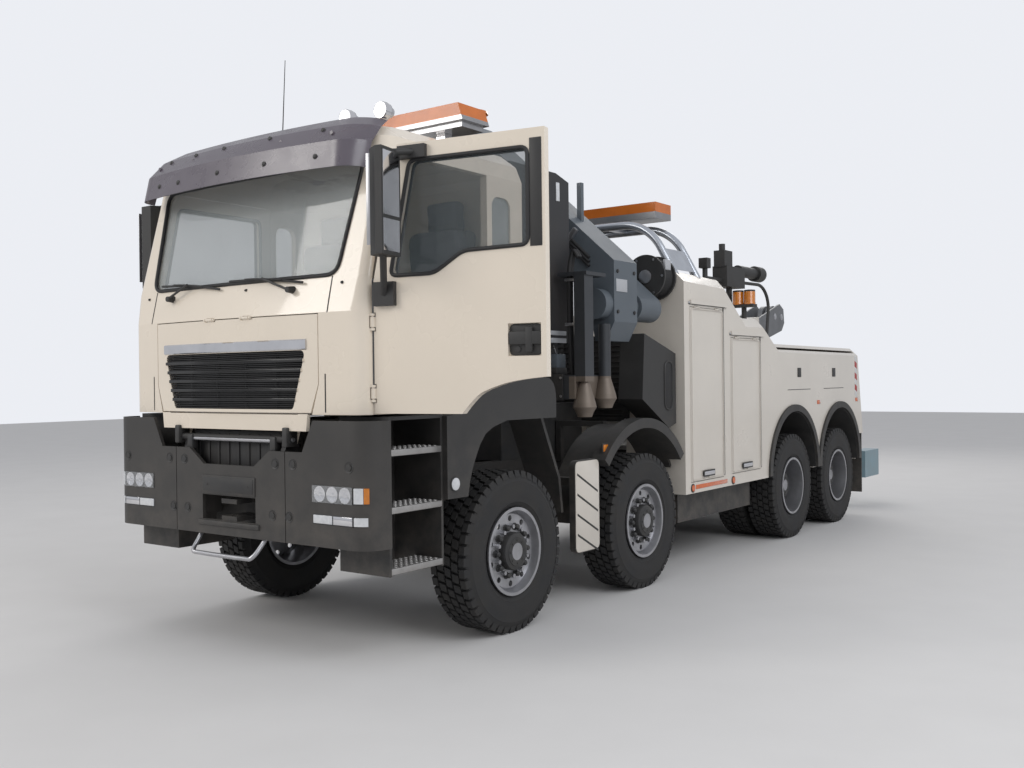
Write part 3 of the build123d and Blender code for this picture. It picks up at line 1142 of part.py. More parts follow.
# Loader crane: base and column, boom, outer boom and extension, and its stabilisers
with BuildPart() as crane_base:
    half, front, rear, low, high = CRANE_BASE
    block(-half, half, aft(front), aft(rear), up(low), up(high))
    low_left, low_right, top_left, top_right = COLUMN
    front_prism(((low_left, up(COLUMN_LOW) - 1), (low_right, up(COLUMN_LOW) - 1), (top_right, up(COLUMN_TOP)),
                 (top_left, up(COLUMN_TOP))), aft(CRANE_Y[0]), aft(CRANE_Y[1]))
    block(low_left, -half + 1, aft(CRANE_Y[0]) - 20, aft(CRANE_Y[1]) + 20, up(1380), up(1520))
    block(top_left, top_right, aft(CRANE_Y[0]) - 60, aft(CRANE_Y[1]) + 60, up(COLUMN_TOP) - 230, up(COLUMN_TOP))
    for y0, y1 in ((CRANE_Y[0] - 60, CRANE_Y[0] - 10), (CRANE_Y[1] + 10, CRANE_Y[1] + 60)):
        front_prism(((top_left + 40, up(COLUMN_TOP) - 1), (top_right - 40, up(COLUMN_TOP) - 1),
                     (CRANE_PIVOT[0] + 90, up(CRANE_PIVOT[1]) + 90), (CRANE_PIVOT[0] - 90, up(CRANE_PIVOT[1]) + 90)),
                    aft(y0), aft(y1))
    rod((CRANE_PIVOT[0], aft(CRANE_Y[0]) - 70, up(CRANE_PIVOT[1])),
        (CRANE_PIVOT[0], aft(CRANE_Y[1]) + 70, up(CRANE_PIVOT[1])), CRANE_PIN_R)
    reach, front, rear, low, high = HOUSING
    block(-half, half, aft(front) + 30, aft(CRANE_Y[0]), up(CRANE_BASE[4]) - 1, up(high))
    block(-reach, reach, aft(front), aft(rear), up(low), up(high))
    block(-reach - 5, reach + 5, aft(front) + HOUSING_WALL, aft(rear) - HOUSING_WALL, up(low) + HOUSING_WALL,
          up(high) - HOUSING_WALL, mode=Mode.SUBTRACT)
save(crane_base.part, "crane_base")

with BuildPart() as stabiliser:
    reach, front, rear, low, high = HOUSING
    inset = HOUSING_WALL + STABILISER_GAP
    block(120, LEG_AT[0] - LEG_R + 8, aft(front) + inset, aft(rear) - inset, up(low) + inset, up(high) - inset)
    block(reach + 8, LEG_AT[0] - LEG_R + 10, aft(front) + 10, aft(BELL_AT) + 50, up(low) + 10, up(high) - 10)
    for y, low_h, high_h in ((LEG_AT[1], LEG_LOW, LEG_TOP), (BELL_AT, LEG_LOW + 60, BELL_LEG_TOP)):
        rod((LEG_AT[0], aft(y), up(low_h) + 100), (LEG_AT[0], aft(y), up(BELL_TOP)), BELL_NECK_R)
        rod((LEG_AT[0], aft(y), up(BELL_TOP) - 30), (LEG_AT[0], aft(y), up(high_h)), LEG_R)
        with BuildSketch(Plane.XZ.offset(-aft(y))) as bell:
            with BuildLine():
                Polyline((LEG_AT[0], up(low_h)), (LEG_AT[0] + BELL_R * 0.6, up(low_h)),
                         (LEG_AT[0] + BELL_R * 0.72, up(low_h) + 30), (LEG_AT[0] + BELL_R, up(low_h) + 75),
                         (LEG_AT[0] + BELL_R * 0.92, up(low_h) + 110), (LEG_AT[0] + BELL_NECK_R + 8, up(low_h) + 260),
                         (LEG_AT[0], up(low_h) + 260), close=True)
            make_face()
        revolve(bell.sketch, axis=Axis((LEG_AT[0], aft(y), 0), (0, 0, 1)))
    half, deep, low_h = LEG_SLEEVE
    block(LEG_AT[0] - half, LEG_AT[0] + half, aft(LEG_AT[1]) - deep, aft(LEG_AT[1]) + deep, up(low_h), up(LEG_TOP))
    x0, x1, front, rear, thick = LEG_BRACKET
    block(LEG_AT[0] + x0, LEG_AT[0] + x1, aft(front), aft(rear), up(LEG_TOP) - 1, up(LEG_TOP) + thick)
save(stabiliser.part, "stabiliser_left")
save(mirror(stabiliser.part, about=Plane.YZ), "stabiliser_right")

with BuildPart() as crane_boom:
    front_prism(tuple((x, up(h)) for x, h in CRANE_BOOM), aft(CRANE_Y[0]), aft(CRANE_Y[1]))
    rod((CRANE_PIVOT[0], aft(CRANE_Y[0]) - 5, up(CRANE_PIVOT[1])),
        (CRANE_PIVOT[0], aft(CRANE_Y[1]) + 5, up(CRANE_PIVOT[1])), CRANE_PIN_R + KINGPIN_GAP, mode=Mode.SUBTRACT)
    rod((KNUCKLE[0], aft(CRANE_Y[0]) - 20, up(KNUCKLE[1])), (KNUCKLE[0], aft(OUTER_Y[1]) + 30, up(KNUCKLE[1])),
        KNUCKLE_R)
    rod((KNUCKLE[0], aft(CRANE_Y[1]) - 1, up(KNUCKLE[1])), (KNUCKLE[0], aft(OUTER_Y[0]) - 8, up(KNUCKLE[1])), 90)
    rod((KNUCKLE[0], aft(PIN_CAP[0]), up(KNUCKLE[1])), (KNUCKLE[0], aft(CRANE_Y[0]) + 1, up(KNUCKLE[1])), PIN_CAP[1])
    x0, x1, front, rear, low, high = BOOM_POST
    block(x0, x1, aft(front), aft(rear), up(low), up(high))
save(crane_boom.part, "crane_boom")

# The outer boom lies parallel behind the boom; s runs along it from the knuckle, t across it
ALONG = (-cos(radians(CRANE_SLOPE)), sin(radians(CRANE_SLOPE)))
ACROSS = (sin(radians(CRANE_SLOPE)), cos(radians(CRANE_SLOPE)))


def on_boom(s, t):
    """(x, z) of a place on the outer boom."""
    return (KNUCKLE[0] + s * ALONG[0] + t * ACROSS[0], up(KNUCKLE[1]) + s * ALONG[1] + t * ACROSS[1])


def boom_box(s0, s1, half_deep, y0, y1, mode=Mode.ADD):
    """A box along the outer boom."""
    front_prism((on_boom(s0, -half_deep), on_boom(s1, -half_deep), on_boom(s1, half_deep), on_boom(s0, half_deep)),
                aft(y0), aft(y1), mode=mode)


with BuildPart() as crane_outer_boom:
    half = OUTER_DEEP / 2
    boom_box(0, OUTER_LENGTH, half, *OUTER_Y)
    rod((KNUCKLE[0], aft(OUTER_Y[0]), up(KNUCKLE[1])), (KNUCKLE[0], aft(OUTER_Y[1]), up(KNUCKLE[1])), half)
    boom_box(220, OUTER_LENGTH + 5, half - OUTER_WALL, OUTER_Y[0] + OUTER_WALL, OUTER_Y[1] - OUTER_WALL,
             mode=Mode.SUBTRACT)
    rod((KNUCKLE[0], aft(OUTER_Y[0]) - 5, up(KNUCKLE[1])), (KNUCKLE[0], aft(OUTER_Y[1]) + 5, up(KNUCKLE[1])),
        KNUCKLE_R + KINGPIN_GAP, mode=Mode.SUBTRACT)
save(crane_outer_boom.part, "crane_outer_boom")

with BuildPart() as crane_extension:
    inset = OUTER_WALL + EXTENSION_GAP
    boom_box(240, OUTER_LENGTH + 120, half - inset, OUTER_Y[0] + inset, OUTER_Y[1] - inset)
    boom_box(OUTER_LENGTH + 30, OUTER_LENGTH + 120, half - inset + 14, OUTER_Y[0] + inset - 14,
             OUTER_Y[1] - inset + 14)
save(crane_extension.part, "crane_extension")

# Air intake stack behind the cab
with BuildPart() as air_intake:
    x0, x1, y0, y1, low, high = INTAKE
    side_prism(((aft(y0), up(low)), (aft(y1), up(low)), (aft(y1), up(high) - 50), (aft(y1) - 180, up(high)),
                (aft(y0), up(high))), x0, x1)
    block(x0 + 60, x1 - 60, aft(HOUSING[1]) + 20, aft(HOUSING[2]) - 20, up(HOUSING[4]), up(low) + 1)
save(air_intake.part, "air_intake")

# Side gear: ribbed plates ahead of the second wheels, the boxes with an oval pocket, and tanks below
with BuildPart() as side_gear:
    for side in SIDES.values():
        x0, x1, y0, y1, low, high = PLATE
        side_prism(((aft(y0), up(low)), (aft(y1), up(low)), (aft(y1), up(high)), (aft(y0), up(high))),
                   *sorted((side * x0, side * x1)), round_by=PLATE_CORNER_R)
        arm = sorted((side * RAIL_X, side * (x0 + 1)))
        block(*arm, aft(940), aft(1000), up(900), up(960))
        body_prism(OVAL_BOX, *sorted((side * OVAL_BOX_X[0], side * OVAL_BOX_X[1])))
        block(*sorted((side * (OVAL_BOX_X[0] + 40), side * (OVAL_BOX_X[1] - 60))), aft(2430), aft(BODY_FRONT),
              up(1500), up(1700))
        x0, x1, y0, y1, low, high = TANK
        block(*sorted((side * x0, side * x1)), aft(y0), aft(y1), up(low), up(high))
        for y in (y0 + 120, y1 - 180):
            block(*sorted((side * RAIL_X, side * (x0 + 30))), aft(y), aft(y) + 60, up(high) - 1, up(RAIL_BOTTOM) + 60)
        x0, x1, y0, y1, low = MUD_FLAP
        block(*sorted((side * x0, side * x1)), aft(y0), aft(y1), up(low), up(BODY_TAIL_LOW))
    centre = (REEL[0], up(REEL[1]))
    flange_r, core_r, boss_r = REEL_R
    for y0, y1, radius in ((REEL_Y[0], REEL_Y[1], flange_r), (REEL_Y[1] - 1, REEL_Y[2] + 1, core_r),
                           (REEL_Y[2], REEL_Y[3], flange_r), (REEL_Y[3] - 1, BODY_FRONT, boss_r)):
        rod((centre[0], aft(y0), centre[1]), (centre[0], aft(y1), centre[1]), radius)
    with BuildLine() as hose_line:
        FilletPolyline(*((x, aft(y), up(h)) for x, y, h in HOSE_LINE), radius=HOSE_BEND)
    with BuildSketch(Plane(origin=hose_line.line @ 0, z_dir=hose_line.line % 0)) as hose_section:
        Circle(HOSE_R)
    sweep(hose_section.sketch, path=hose_line.line)
    y, low, high, radius = CLUSTER_POST
    rod((CLUSTER_X, aft(y), up(low)), (CLUSTER_X, aft(y), up(high)), radius)
    for y0, y1, low, high, half in CLUSTER_BOXES:
        block(CLUSTER_X - half, CLUSTER_X + half, aft(y0), aft(y1), up(low), up(high))
    for y0, h0, y1, h1, radius in CLUSTER_RODS:
        rod((CLUSTER_X, aft(y0), up(h0)), (CLUSTER_X, aft(y1), up(h1)), radius)
    y, low, middle, high = TWIN_LAMP
    rod((sum(TWIN_LAMP_X) / 2, aft(y), up(2100)), (sum(TWIN_LAMP_X) / 2, aft(y), up(middle)), 26)
    block(TWIN_LAMP_X[0] - TWIN_LAMP_R, TWIN_LAMP_X[1] + TWIN_LAMP_R, aft(y) - TWIN_LAMP_R, aft(y) + TWIN_LAMP_R,
          up(low), up(middle))
    for x in TWIN_LAMP_X:
        rod((x, aft(y), up(middle) - 1), (x, aft(y), up(high)), TWIN_LAMP_R)
    add(body.part, mode=Mode.SUBTRACT)
save(side_gear.part, "side_gear")

# Recovery boom and its extension
BOOM_DIR = (cos(radians(BOOM_ANGLE)), sin(radians(BOOM_ANGLE)))


def on_mast(s, t):
    """(y, z) of a place on the recovery boom: s along it, t up from its line."""
    return (aft(BOOM_PIVOT[0]) + s * BOOM_DIR[0] - t * BOOM_DIR[1], up(BOOM_PIVOT[1]) + s * BOOM_DIR[1]
            + t * BOOM_DIR[0])


def mast_box(s0, s1, t0, t1, half, mode=Mode.ADD):
    """A box along the recovery boom."""
    side_prism((on_mast(s0, t0), on_mast(s1, t0), on_mast(s1, t1), on_mast(s0, t1)), -half, half, mode=mode)


with BuildPart() as recovery_boom:
    mast_box(-90, BOOM_LENGTH, -60, BOOM_DEEP - 60, BOOM_HALF)
    rod((-BOOM_HALF - 30, *on_mast(0, 0)), (BOOM_HALF + 30, *on_mast(0, 0)), 110)
    mast_box(160, BOOM_LENGTH + 5, -60 + BOOM_WALL, BOOM_DEEP - 60 - BOOM_WALL, BOOM_HALF - BOOM_WALL,
             mode=Mode.SUBTRACT)
    rod((-BOOM_HALF - 40, *on_mast(0, 0)), (BOOM_HALF + 40, *on_mast(0, 0)), BOOM_PIN_R + KINGPIN_GAP,
        mode=Mode.SUBTRACT)
save(recovery_boom.part, "recovery_boom")

with BuildPart() as boom_extension:
    inset = BOOM_WALL + EXTENSION_GAP
    mast_box(1000, BOOM_LENGTH + 60, -60 + inset, BOOM_DEEP - 60 - inset, BOOM_HALF - inset)
    for side in SIDES.values():
        cheek = sorted((side * (BOOM_HALF - inset - 24), side * (BOOM_HALF - inset)))
        side_prism((on_mast(BOOM_LENGTH + 59, -60 + inset), on_mast(BOOM_HEAD - 60, 30), on_mast(BOOM_HEAD + 40, 120),
                    on_mast(BOOM_HEAD + 40, 300), on_mast(BOOM_HEAD - 80, 380),
                    on_mast(BOOM_LENGTH + 59, BOOM_DEEP - 60 - inset)), *cheek)
        wheel_in, wheel_out = sorted((side * 20, side * 80))
        rod((wheel_in, *on_mast(BOOM_HEAD - 80, 210)), (wheel_out, *on_mast(BOOM_HEAD - 80, 210)), HEAD_SHEAVE_R)
    rod((-BOOM_HALF + inset + 1, *on_mast(BOOM_HEAD - 80, 210)), (BOOM_HALF - inset - 1, *on_mast(BOOM_HEAD - 80, 210)),
        30)
save(boom_extension.part, "boom_extension")

# Underlift: arm, stinger and crossbar with its receivers
with BuildPart() as underlift_arm:
    y, height = LIFT_PIVOT
    rod((-LIFT_HALF, aft(y), up(height)), (LIFT_HALF, aft(y), up(height)), 105)
    block(-LIFT_HALF, LIFT_HALF, aft(y), aft(ARM_END), up(height) - LIFT_DEEP, up(height) + LIFT_DEEP - 30)
    block(-LIFT_HALF + ARM_WALL, LIFT_HALF - ARM_WALL, aft(y) + 130, aft(ARM_END) + 5,
          up(height) - LIFT_DEEP + ARM_WALL, up(height) + LIFT_DEEP - 30 - ARM_WALL, mode=Mode.SUBTRACT)
    rod((-LIFT_HALF - 5, aft(y), up(height)), (LIFT_HALF + 5, aft(y), up(height)), LIFT_PIN_R + KINGPIN_GAP,
        mode=Mode.SUBTRACT)
save(underlift_arm.part, "underlift_arm")

with BuildPart() as underlift_stinger:
    inset = ARM_WALL + EXTENSION_GAP
    block(-LIFT_HALF + inset, LIFT_HALF - inset, aft(y) + 150, aft(ARM_END) + 60, up(height) - LIFT_DEEP + inset,
          up(height) + LIFT_DEEP - 30 - inset)
    for low, high in ((CROSSBAR[3] + 4, up(height) + LIFT_DEEP - 30 - inset + TOW_HEIGHT), (CROSSBAR[2] - 44,
                                                                                           CROSSBAR[2] - 4)):
        block(-90, 90, aft(ARM_END) + 40, aft(STINGER_END), up(low), up(high))
    block(-90, 90, aft(ARM_END) + 40, aft(ARM_END) + 90, up(CROSSBAR[2]) - 44, up(height))
    rod((0, aft(SWIVEL_Y), up(CROSSBAR[2]) - 60), (0, aft(SWIVEL_Y), up(CROSSBAR[3]) + 60), SWIVEL_R)
save(underlift_stinger.part, "underlift_stinger")

with BuildPart() as crossbar:
    front, rear, low, high = CROSSBAR
    block(-CROSSBAR_HALF, CROSSBAR_HALF, aft(front), aft(rear), up(low), up(high))
    rod((0, aft(SWIVEL_Y), up(low) - 5), (0, aft(SWIVEL_Y), up(high) + 5), SWIVEL_R + KINGPIN_GAP,
        mode=Mode.SUBTRACT)
    for side in SIDES.values():
        front, rear, low, high = RECEIVER
        outer = sorted((side * RECEIVER_IN, side * CROSSBAR_HALF))
        block(*outer, aft(front), aft(rear), up(low), up(high))
        middle = side * (RECEIVER_IN + CROSSBAR_HALF) / 2
        block(middle - 60, middle + 60, aft(CROSSBAR[1]) + 30, aft(rear) + 5, up(460), up(580), mode=Mode.SUBTRACT)
save(crossbar.part, "crossbar")
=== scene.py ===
"""Looks of the heavy recovery truck: finishes, tyres with tread, seals, lamps, hoses and small gear.

Metres, in the row's frame: +X is the vehicle's left, -Y its front, +Z up. Shapes are placed by their
distance to the left of the middle, behind the first axle and above the ground, and spot() turns these
into the frame's coordinates. An outline is pairs of length and height, or of side place and height, and
a turned profile is pairs of radius and distance along its axis, both given in millimetres.
"""

from math import cos, pi, radians, sin

import bmesh
import bpy
from mathutils import Matrix, Vector


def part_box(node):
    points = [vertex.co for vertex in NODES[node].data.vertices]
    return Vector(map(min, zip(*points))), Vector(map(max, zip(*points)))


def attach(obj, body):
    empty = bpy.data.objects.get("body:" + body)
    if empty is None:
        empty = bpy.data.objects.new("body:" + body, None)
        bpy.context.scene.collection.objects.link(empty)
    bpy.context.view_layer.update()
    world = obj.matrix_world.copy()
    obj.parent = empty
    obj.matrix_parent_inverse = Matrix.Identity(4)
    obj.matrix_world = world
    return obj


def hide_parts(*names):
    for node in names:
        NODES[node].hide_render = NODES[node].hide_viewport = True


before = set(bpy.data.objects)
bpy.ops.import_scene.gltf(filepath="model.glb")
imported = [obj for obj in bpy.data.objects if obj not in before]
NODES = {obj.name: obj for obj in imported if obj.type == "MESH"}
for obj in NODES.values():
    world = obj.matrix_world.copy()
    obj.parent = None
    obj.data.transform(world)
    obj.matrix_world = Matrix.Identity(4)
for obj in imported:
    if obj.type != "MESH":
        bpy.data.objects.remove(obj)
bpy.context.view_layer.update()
SCENE = bpy.context.scene

# Datums
TOW_HEIGHT = 0.900
TOW_AHEAD = 1.360
SIDES = {"left": 1, "right": -1}
AXLES = "1234"
LEFTWARD, FORWARD, BACKWARD, UPWARD = (1, 0, 0), (0, -1, 0), (0, 1, 0), (0, 0, 1)


def up(height):
    """Z of a height above the ground."""
    return height - TOW_HEIGHT


def aft(distance):
    """Y of a distance behind the first axle."""
    return distance + TOW_AHEAD


def spot(x, y, height):
    """A point of the row frame, from its distance behind the first axle and its height above the ground."""
    return Vector((x, aft(y), up(height)))


# Materials: in each, noise works the colour, the roughness and the bump of one Principled shader
MATERIALS = {}
ROAD_DUST = (0.20, 0.17, 0.14)
DUST_SCALE = 7.0
COAT_ROUGH = 0.06
DUST_FULL = 0.1
DUST_CLOUDS = (0.35, 0.75)
PATCHES = (0.35, 0.7)
FILM = (0.3, 0.8)
GRAIN_DETAIL = 3.0
GRAIN_STRENGTH = 0.35
CLEAR_SHINE = 0.8
EDGE_BLUR = 0.001


class Tree:
    """The nodes of a material or of the world."""

    def __init__(self, owner):
        owner.use_nodes = True
        self.tree = owner.node_tree

    def feed(self, node, inputs):
        """Sets the inputs of a node: a socket is linked, anything else is a value."""
        for name, value in inputs.items():
            if isinstance(value, bpy.types.NodeSocket):
                self.tree.links.new(value, node.inputs[name])
            else:
                node.inputs[name].default_value = value

    def node(self, kind, inputs, output=0, **settings):
        """An output of a new node."""
        made = self.tree.nodes.new("ShaderNode" + kind)
        for name, value in settings.items():
            setattr(made, name, value)
        self.feed(made, inputs)
        return made.outputs[output]

    def math(self, operation, *values):
        """The result of a Math node."""
        return self.node("Math", dict(enumerate(values)), operation=operation)

    def ramp(self, value, low, high, out_low=0.0, out_high=1.0):
        """A value mapped from one range to another, kept inside it."""
        return self.node("MapRange", {"Value": value, "From Min": low, "From Max": high,
                                      "To Min": out_low, "To Max": out_high}, "Result")

    def mix(self, factor, first, second):
        """A colour between two, each a colour or a socket."""
        first, second = ((*c, 1.0) if isinstance(c, tuple) else c for c in (first, second))
        return self.node("Mix", {0: factor, 6: first, 7: second}, 2, data_type="RGBA")


class Finish(Tree):
    """A material over a piece's own coordinates."""

    def __init__(self, name):
        made = MATERIALS[name] = bpy.data.materials.new(name)
        super().__init__(made)
        self.coords = self.node("TexCoord", {}, "Object")

    def shade(self, inputs):
        """Sets the inputs of the shader."""
        self.feed(self.tree.nodes["Principled BSDF"], inputs)

    def along(self, axis):
        """The place along an axis."""
        return self.node("SeparateXYZ", {0: self.coords}, axis)

    def noise(self, scale, detail=4.0, rough=0.55):
        """A noise texture."""
        return self.node("TexNoise", {"Vector": self.coords, "Scale": scale, "Detail": detail,
                                      "Roughness": rough}, "Fac")

    def bump(self, grain, strength, depth):
        """Gives the surface fine grain."""
        height = self.noise(grain, GRAIN_DETAIL)
        self.shade({"Normal": self.node("Bump", {"Height": height, "Strength": strength,
                                                 "Distance": depth}, "Normal")})


def surface(name, colour, second, rough, metal=0.0, coat=0.0, patch=3.0, grain=220.0, depth=0.0004,
            grime=0.0, grime_height=1.3):
    """A finish with large patches of a second colour, fine grain, and road dust that thins with height."""
    made = Finish(name)
    broad = made.noise(patch)
    shown = made.mix(made.ramp(broad, *PATCHES), colour, second)
    if grime:
        low = made.ramp(made.along("Z"), up(grime_height), up(DUST_FULL), 0.0, grime)
        cloud = made.ramp(made.noise(DUST_SCALE, 6.0, 0.65), *DUST_CLOUDS)
        shown = made.mix(made.math("MULTIPLY", low, cloud), shown, ROAD_DUST)
    made.shade({"Base Color": shown, "Metallic": metal,
                "Roughness": made.ramp(broad, 0.3, 0.7, rough * 0.88, min(rough * 1.15, 1.0))})
    if coat:
        made.shade({"Coat Weight": coat, "Coat Roughness": COAT_ROUGH})
    made.bump(grain, GRAIN_STRENGTH, depth)


def clear(name, colour, rough, alpha):
    """See-through sheet: plain alpha, so that what is behind it shows."""
    made = Finish(name)
    film = made.noise(5.0, 5.0)
    made.shade({"Base Color": (*colour, 1.0), "Specular IOR Level": CLEAR_SHINE,
                "Roughness": made.ramp(film, *FILM, rough, rough * 1.8),
                "Alpha": made.ramp(film, *FILM, alpha, min(alpha * 1.12, 1.0))})


def parted(name, axis, first, *others, inner=None):
    """A finish in parts along an axis: a part is a colour, its roughness, its metal and where it starts.

    Nearer the middle than inner, the first part gives way to the second."""
    made = Finish(name)
    broad = made.ramp(made.noise(DUST_SCALE, 5.0), 0.3, 0.75)
    colour, rough, metal = first
    shown = made.mix(broad, colour, tuple(0.78 * c for c in colour))
    for colour, next_rough, next_metal, edge in others:
        factor = made.ramp(made.along(axis), edge - EDGE_BLUR, edge + EDGE_BLUR)
        if inner:
            middle = made.ramp(made.math("ABSOLUTE", made.along("X")), inner, inner - 2 * EDGE_BLUR)
            factor = made.math("MAXIMUM", factor, middle)
        shown = made.mix(factor, shown, made.mix(broad, colour, tuple(0.8 * c for c in colour)))
        rough, metal = (made.ramp(factor, 0.0, 1.0, *pair)
                        for pair in ((rough, next_rough), (metal, next_metal)))
    made.shade({"Base Color": shown, "Roughness": rough, "Metallic": metal})
    made.bump(400.0, 0.3, 0.0003)


# Two colours, roughness, metal, coat, scales of patches and grain, the grain's depth, grime and its height
SURFACES = {
    "cab_paint": ((0.80, 0.71, 0.59), (0.76, 0.675, 0.56), 0.28, 0, 0.6, 1.4, 600, 0.0001, 0.10, 1.9),
    # Body paint: a cream like the cab's, set darker with painted shade, because the body's sides stand in
    # shade
    "body_paint": ((0.66, 0.61, 0.54), (0.62, 0.575, 0.51), 0.30, 0, 0.5, 1.6, 500, 0.0001, 0.14, 1.4),
    "dark_plastic": ((0.026, 0.0255, 0.025), (0.036, 0.035, 0.034), 0.55, 0, 0, 4, 900, 0.0004, 0.5, 1.6),
    "bumper_grey": ((0.033, 0.031, 0.029), (0.044, 0.041, 0.038), 0.48, 0, 0, 3, 800, 0.0004, 0.45, 1.4),
    "chassis_black": ((0.018, 0.018, 0.019), (0.030, 0.028, 0.026), 0.6, 0, 0, 5, 300, 0.0006, 0.6),
    "cast": ((0.10, 0.10, 0.10), (0.14, 0.13, 0.12), 0.7, 0.6, 0, 8, 160, 0.001),
    "tyre_rubber": ((0.016, 0.016, 0.017), (0.030, 0.028, 0.026), 0.74, 0, 0, 6, 420, 0.0008),
    "rim_silver": ((0.46, 0.46, 0.48), (0.34, 0.34, 0.35), 0.36, 0.85, 0, 7, 400, 0.0002),
    "hub_black": ((0.025, 0.025, 0.026), (0.04, 0.038, 0.035), 0.5, 0, 0, 9, 300),
    "interior_plastic": ((0.10, 0.10, 0.105), (0.13, 0.13, 0.13), 0.6, 0, 0, 3, 700, 0.0005),
    "seat_cloth": ((0.09, 0.095, 0.11), (0.13, 0.135, 0.15), 0.9, 0, 0, 14, 1400, 0.001),
    "grille_black": ((0.010, 0.010, 0.011), (0.018, 0.018, 0.018), 0.35, 0, 0, 4, 700),
    "chrome": ((0.72, 0.72, 0.74), (0.64, 0.64, 0.66), 0.10, 1.0, 0, 6, 500, 0.0001),
    "steel": ((0.50, 0.50, 0.52), (0.40, 0.40, 0.41), 0.34, 0.9, 0, 7, 500),
    "tread_alloy": ((0.34, 0.33, 0.32), (0.42, 0.41, 0.40), 0.42, 0.7, 0, 12, 500, 0.0004, 0.4),
    "crane_grey": ((0.086, 0.103, 0.120), (0.105, 0.122, 0.139), 0.55, 0, 0.08, 3, 420, 0.0004, 0.2),
    "intake_black": ((0.020, 0.020, 0.022), (0.034, 0.030, 0.028), 0.5, 0, 0, 3, 500, 0.0004, 0.2),
    "lift_blue": ((0.16, 0.27, 0.32), (0.20, 0.30, 0.35), 0.42, 0, 0.2, 5, 400, 0.0004, 0.5),
    "pale_alloy": ((0.50, 0.51, 0.53), (0.44, 0.45, 0.47), 0.40, 0.4, 0, 5, 500),
    "rubber_black": ((0.014, 0.014, 0.015), (0.022, 0.021, 0.021), 0.6, 0, 0, 9, 600),
    "stripe_red": ((0.42, 0.025, 0.02), (0.36, 0.03, 0.025), 0.35, 0, 0, 9, 600),
    "stripe_white": ((0.66, 0.66, 0.65), (0.58, 0.58, 0.57), 0.35, 0, 0, 9, 600),
    "amber_lens": ((0.62, 0.20, 0.015), (0.50, 0.15, 0.01), 0.12, 0, 0.8, 30, 90, 0.001),
    "orange_lens": ((0.66, 0.13, 0.02), (0.55, 0.10, 0.015), 0.15, 0, 0.8, 30, 160),
    "red_lens": ((0.36, 0.035, 0.03), (0.28, 0.03, 0.025), 0.15, 0, 0.8, 30, 160),
    "white_lens": ((0.66, 0.67, 0.68), (0.55, 0.56, 0.58), 0.14, 0, 0.8, 30, 110, 0.0008),
}
for name, values in SURFACES.items():
    surface(name, *values)

clear("window_glass", (0.10, 0.12, 0.125), 0.03, 0.34)
clear("screen_glass", (0.52, 0.56, 0.56), 0.03, 0.36)
clear("visor_smoke", (0.115, 0.098, 0.120), 0.22, 0.86)
clear("lamp_glass", (0.80, 0.82, 0.84), 0.04, 0.12)

ORANGE_COVER = ((0.60, 0.155, 0.02), 0.14, 0.0)
parted("stabiliser_finish", "Z", ((0.19, 0.155, 0.125), 0.5, 0.35),
       ((0.050, 0.054, 0.060), 0.45, 0.3, up(1.730)), inner=1.055)
parted("boom_finish", "Y", ((0.66, 0.62, 0.57), 0.32, 0.0), ((0.17, 0.175, 0.185), 0.45, 0.3, aft(6.30)))
parted("beacon_finish", "Z", ((0.66, 0.66, 0.68), 0.12, 1.0), ((0.40, 0.40, 0.41), 0.25, 0.8, up(3.452)),
       (*ORANGE_COVER, up(3.528)))
parted("hoop_finish", "Z", ((0.56, 0.59, 0.64), 0.28, 0.85), ((0.30, 0.30, 0.31), 0.3, 0.6, up(3.170)),
       (*ORANGE_COVER, up(3.232)))

# The finish of each carried-over node
FINISHES = {
    "chassis_black": "frame axles",
    "cast": "engine",
    "bumper_grey": "bumper",
    "chrome": "front_lamps",
    "beacon_finish": "roof_gear",
    "hub_black": "crane_base",
    "dark_plastic": "step_wells fenders mirror_left mirror_right side_gear",
    "intake_black": "air_intake",
    "crane_grey": "crane_boom crane_outer_boom crane_extension",
    "stabiliser_finish": "stabiliser_left stabiliser_right",
    "body_paint": "body_left body_right locker_front_left locker_rear_left locker_front_right "
                  "locker_rear_right recovery_boom",
    "boom_finish": "boom_extension",
    "tread_alloy": "deck",
    "hoop_finish": "hoops",
    "cab_paint": "cab_shell front_flap door_left door_right",
    "window_glass": "door_glass_left door_glass_right",
    "screen_glass": "cab_glass",
    "visor_smoke": "sun_visor",
    "interior_plastic": "cab_interior",
    "lift_blue": "underlift_arm underlift_stinger crossbar",
}
WHEEL_FINISHES = (("tyre", "tyre_rubber", AXLES), ("rim", "rim_silver", AXLES),
                  ("knuckle", "chassis_black", "12"))


def finish(node, name):
    """Gives a carried-over node its finish."""
    materials = NODES[node].data.materials
    materials.clear()
    materials.append(MATERIALS[name])


for name, members in FINISHES.items():
    for member in members.split():
        finish(member, name)
for kind, name, axles in WHEEL_FINISHES:
    for axle in axles:
        for side in SIDES:
            finish(f"{kind}_{axle}_{side}", name)

# Pieces built in mesh code
SHARP = radians(32)
SLIVER = 1e-6


def as_given(x, y, height):
    """A point of a piece that is placed later."""
    return Vector((x, y, height))


def near(middle, half):
    """The range round a middle."""
    return middle - half, middle + half


def pairs(*numbers):
    """Pairs of metres, from numbers in millimetres."""
    metres = [number / 1000 for number in numbers]
    return list(zip(metres[::2], metres[1::2]))


def between(first, last, part):
    """A value part of the way from one to another."""
    return first + (last - first) * part


def circle(radius, count):
    """Points round a circle, as pairs."""
    return [(radius * cos(2 * pi * k / count), radius * sin(2 * pi * k / count)) for k in range(count)]


def bevelled(part, edge):
    """Bevels the edges of a bmesh."""
    bmesh.ops.bevel(part, geom=part.edges[:], offset=edge, segments=2, profile=0.5, affect="EDGES")


def mirrored(part):
    """Turns a bmesh into its mirror image on the other side."""
    for vertex in part.verts:
        vertex.co.x = -vertex.co.x
    bmesh.ops.reverse_faces(part, faces=part.faces)


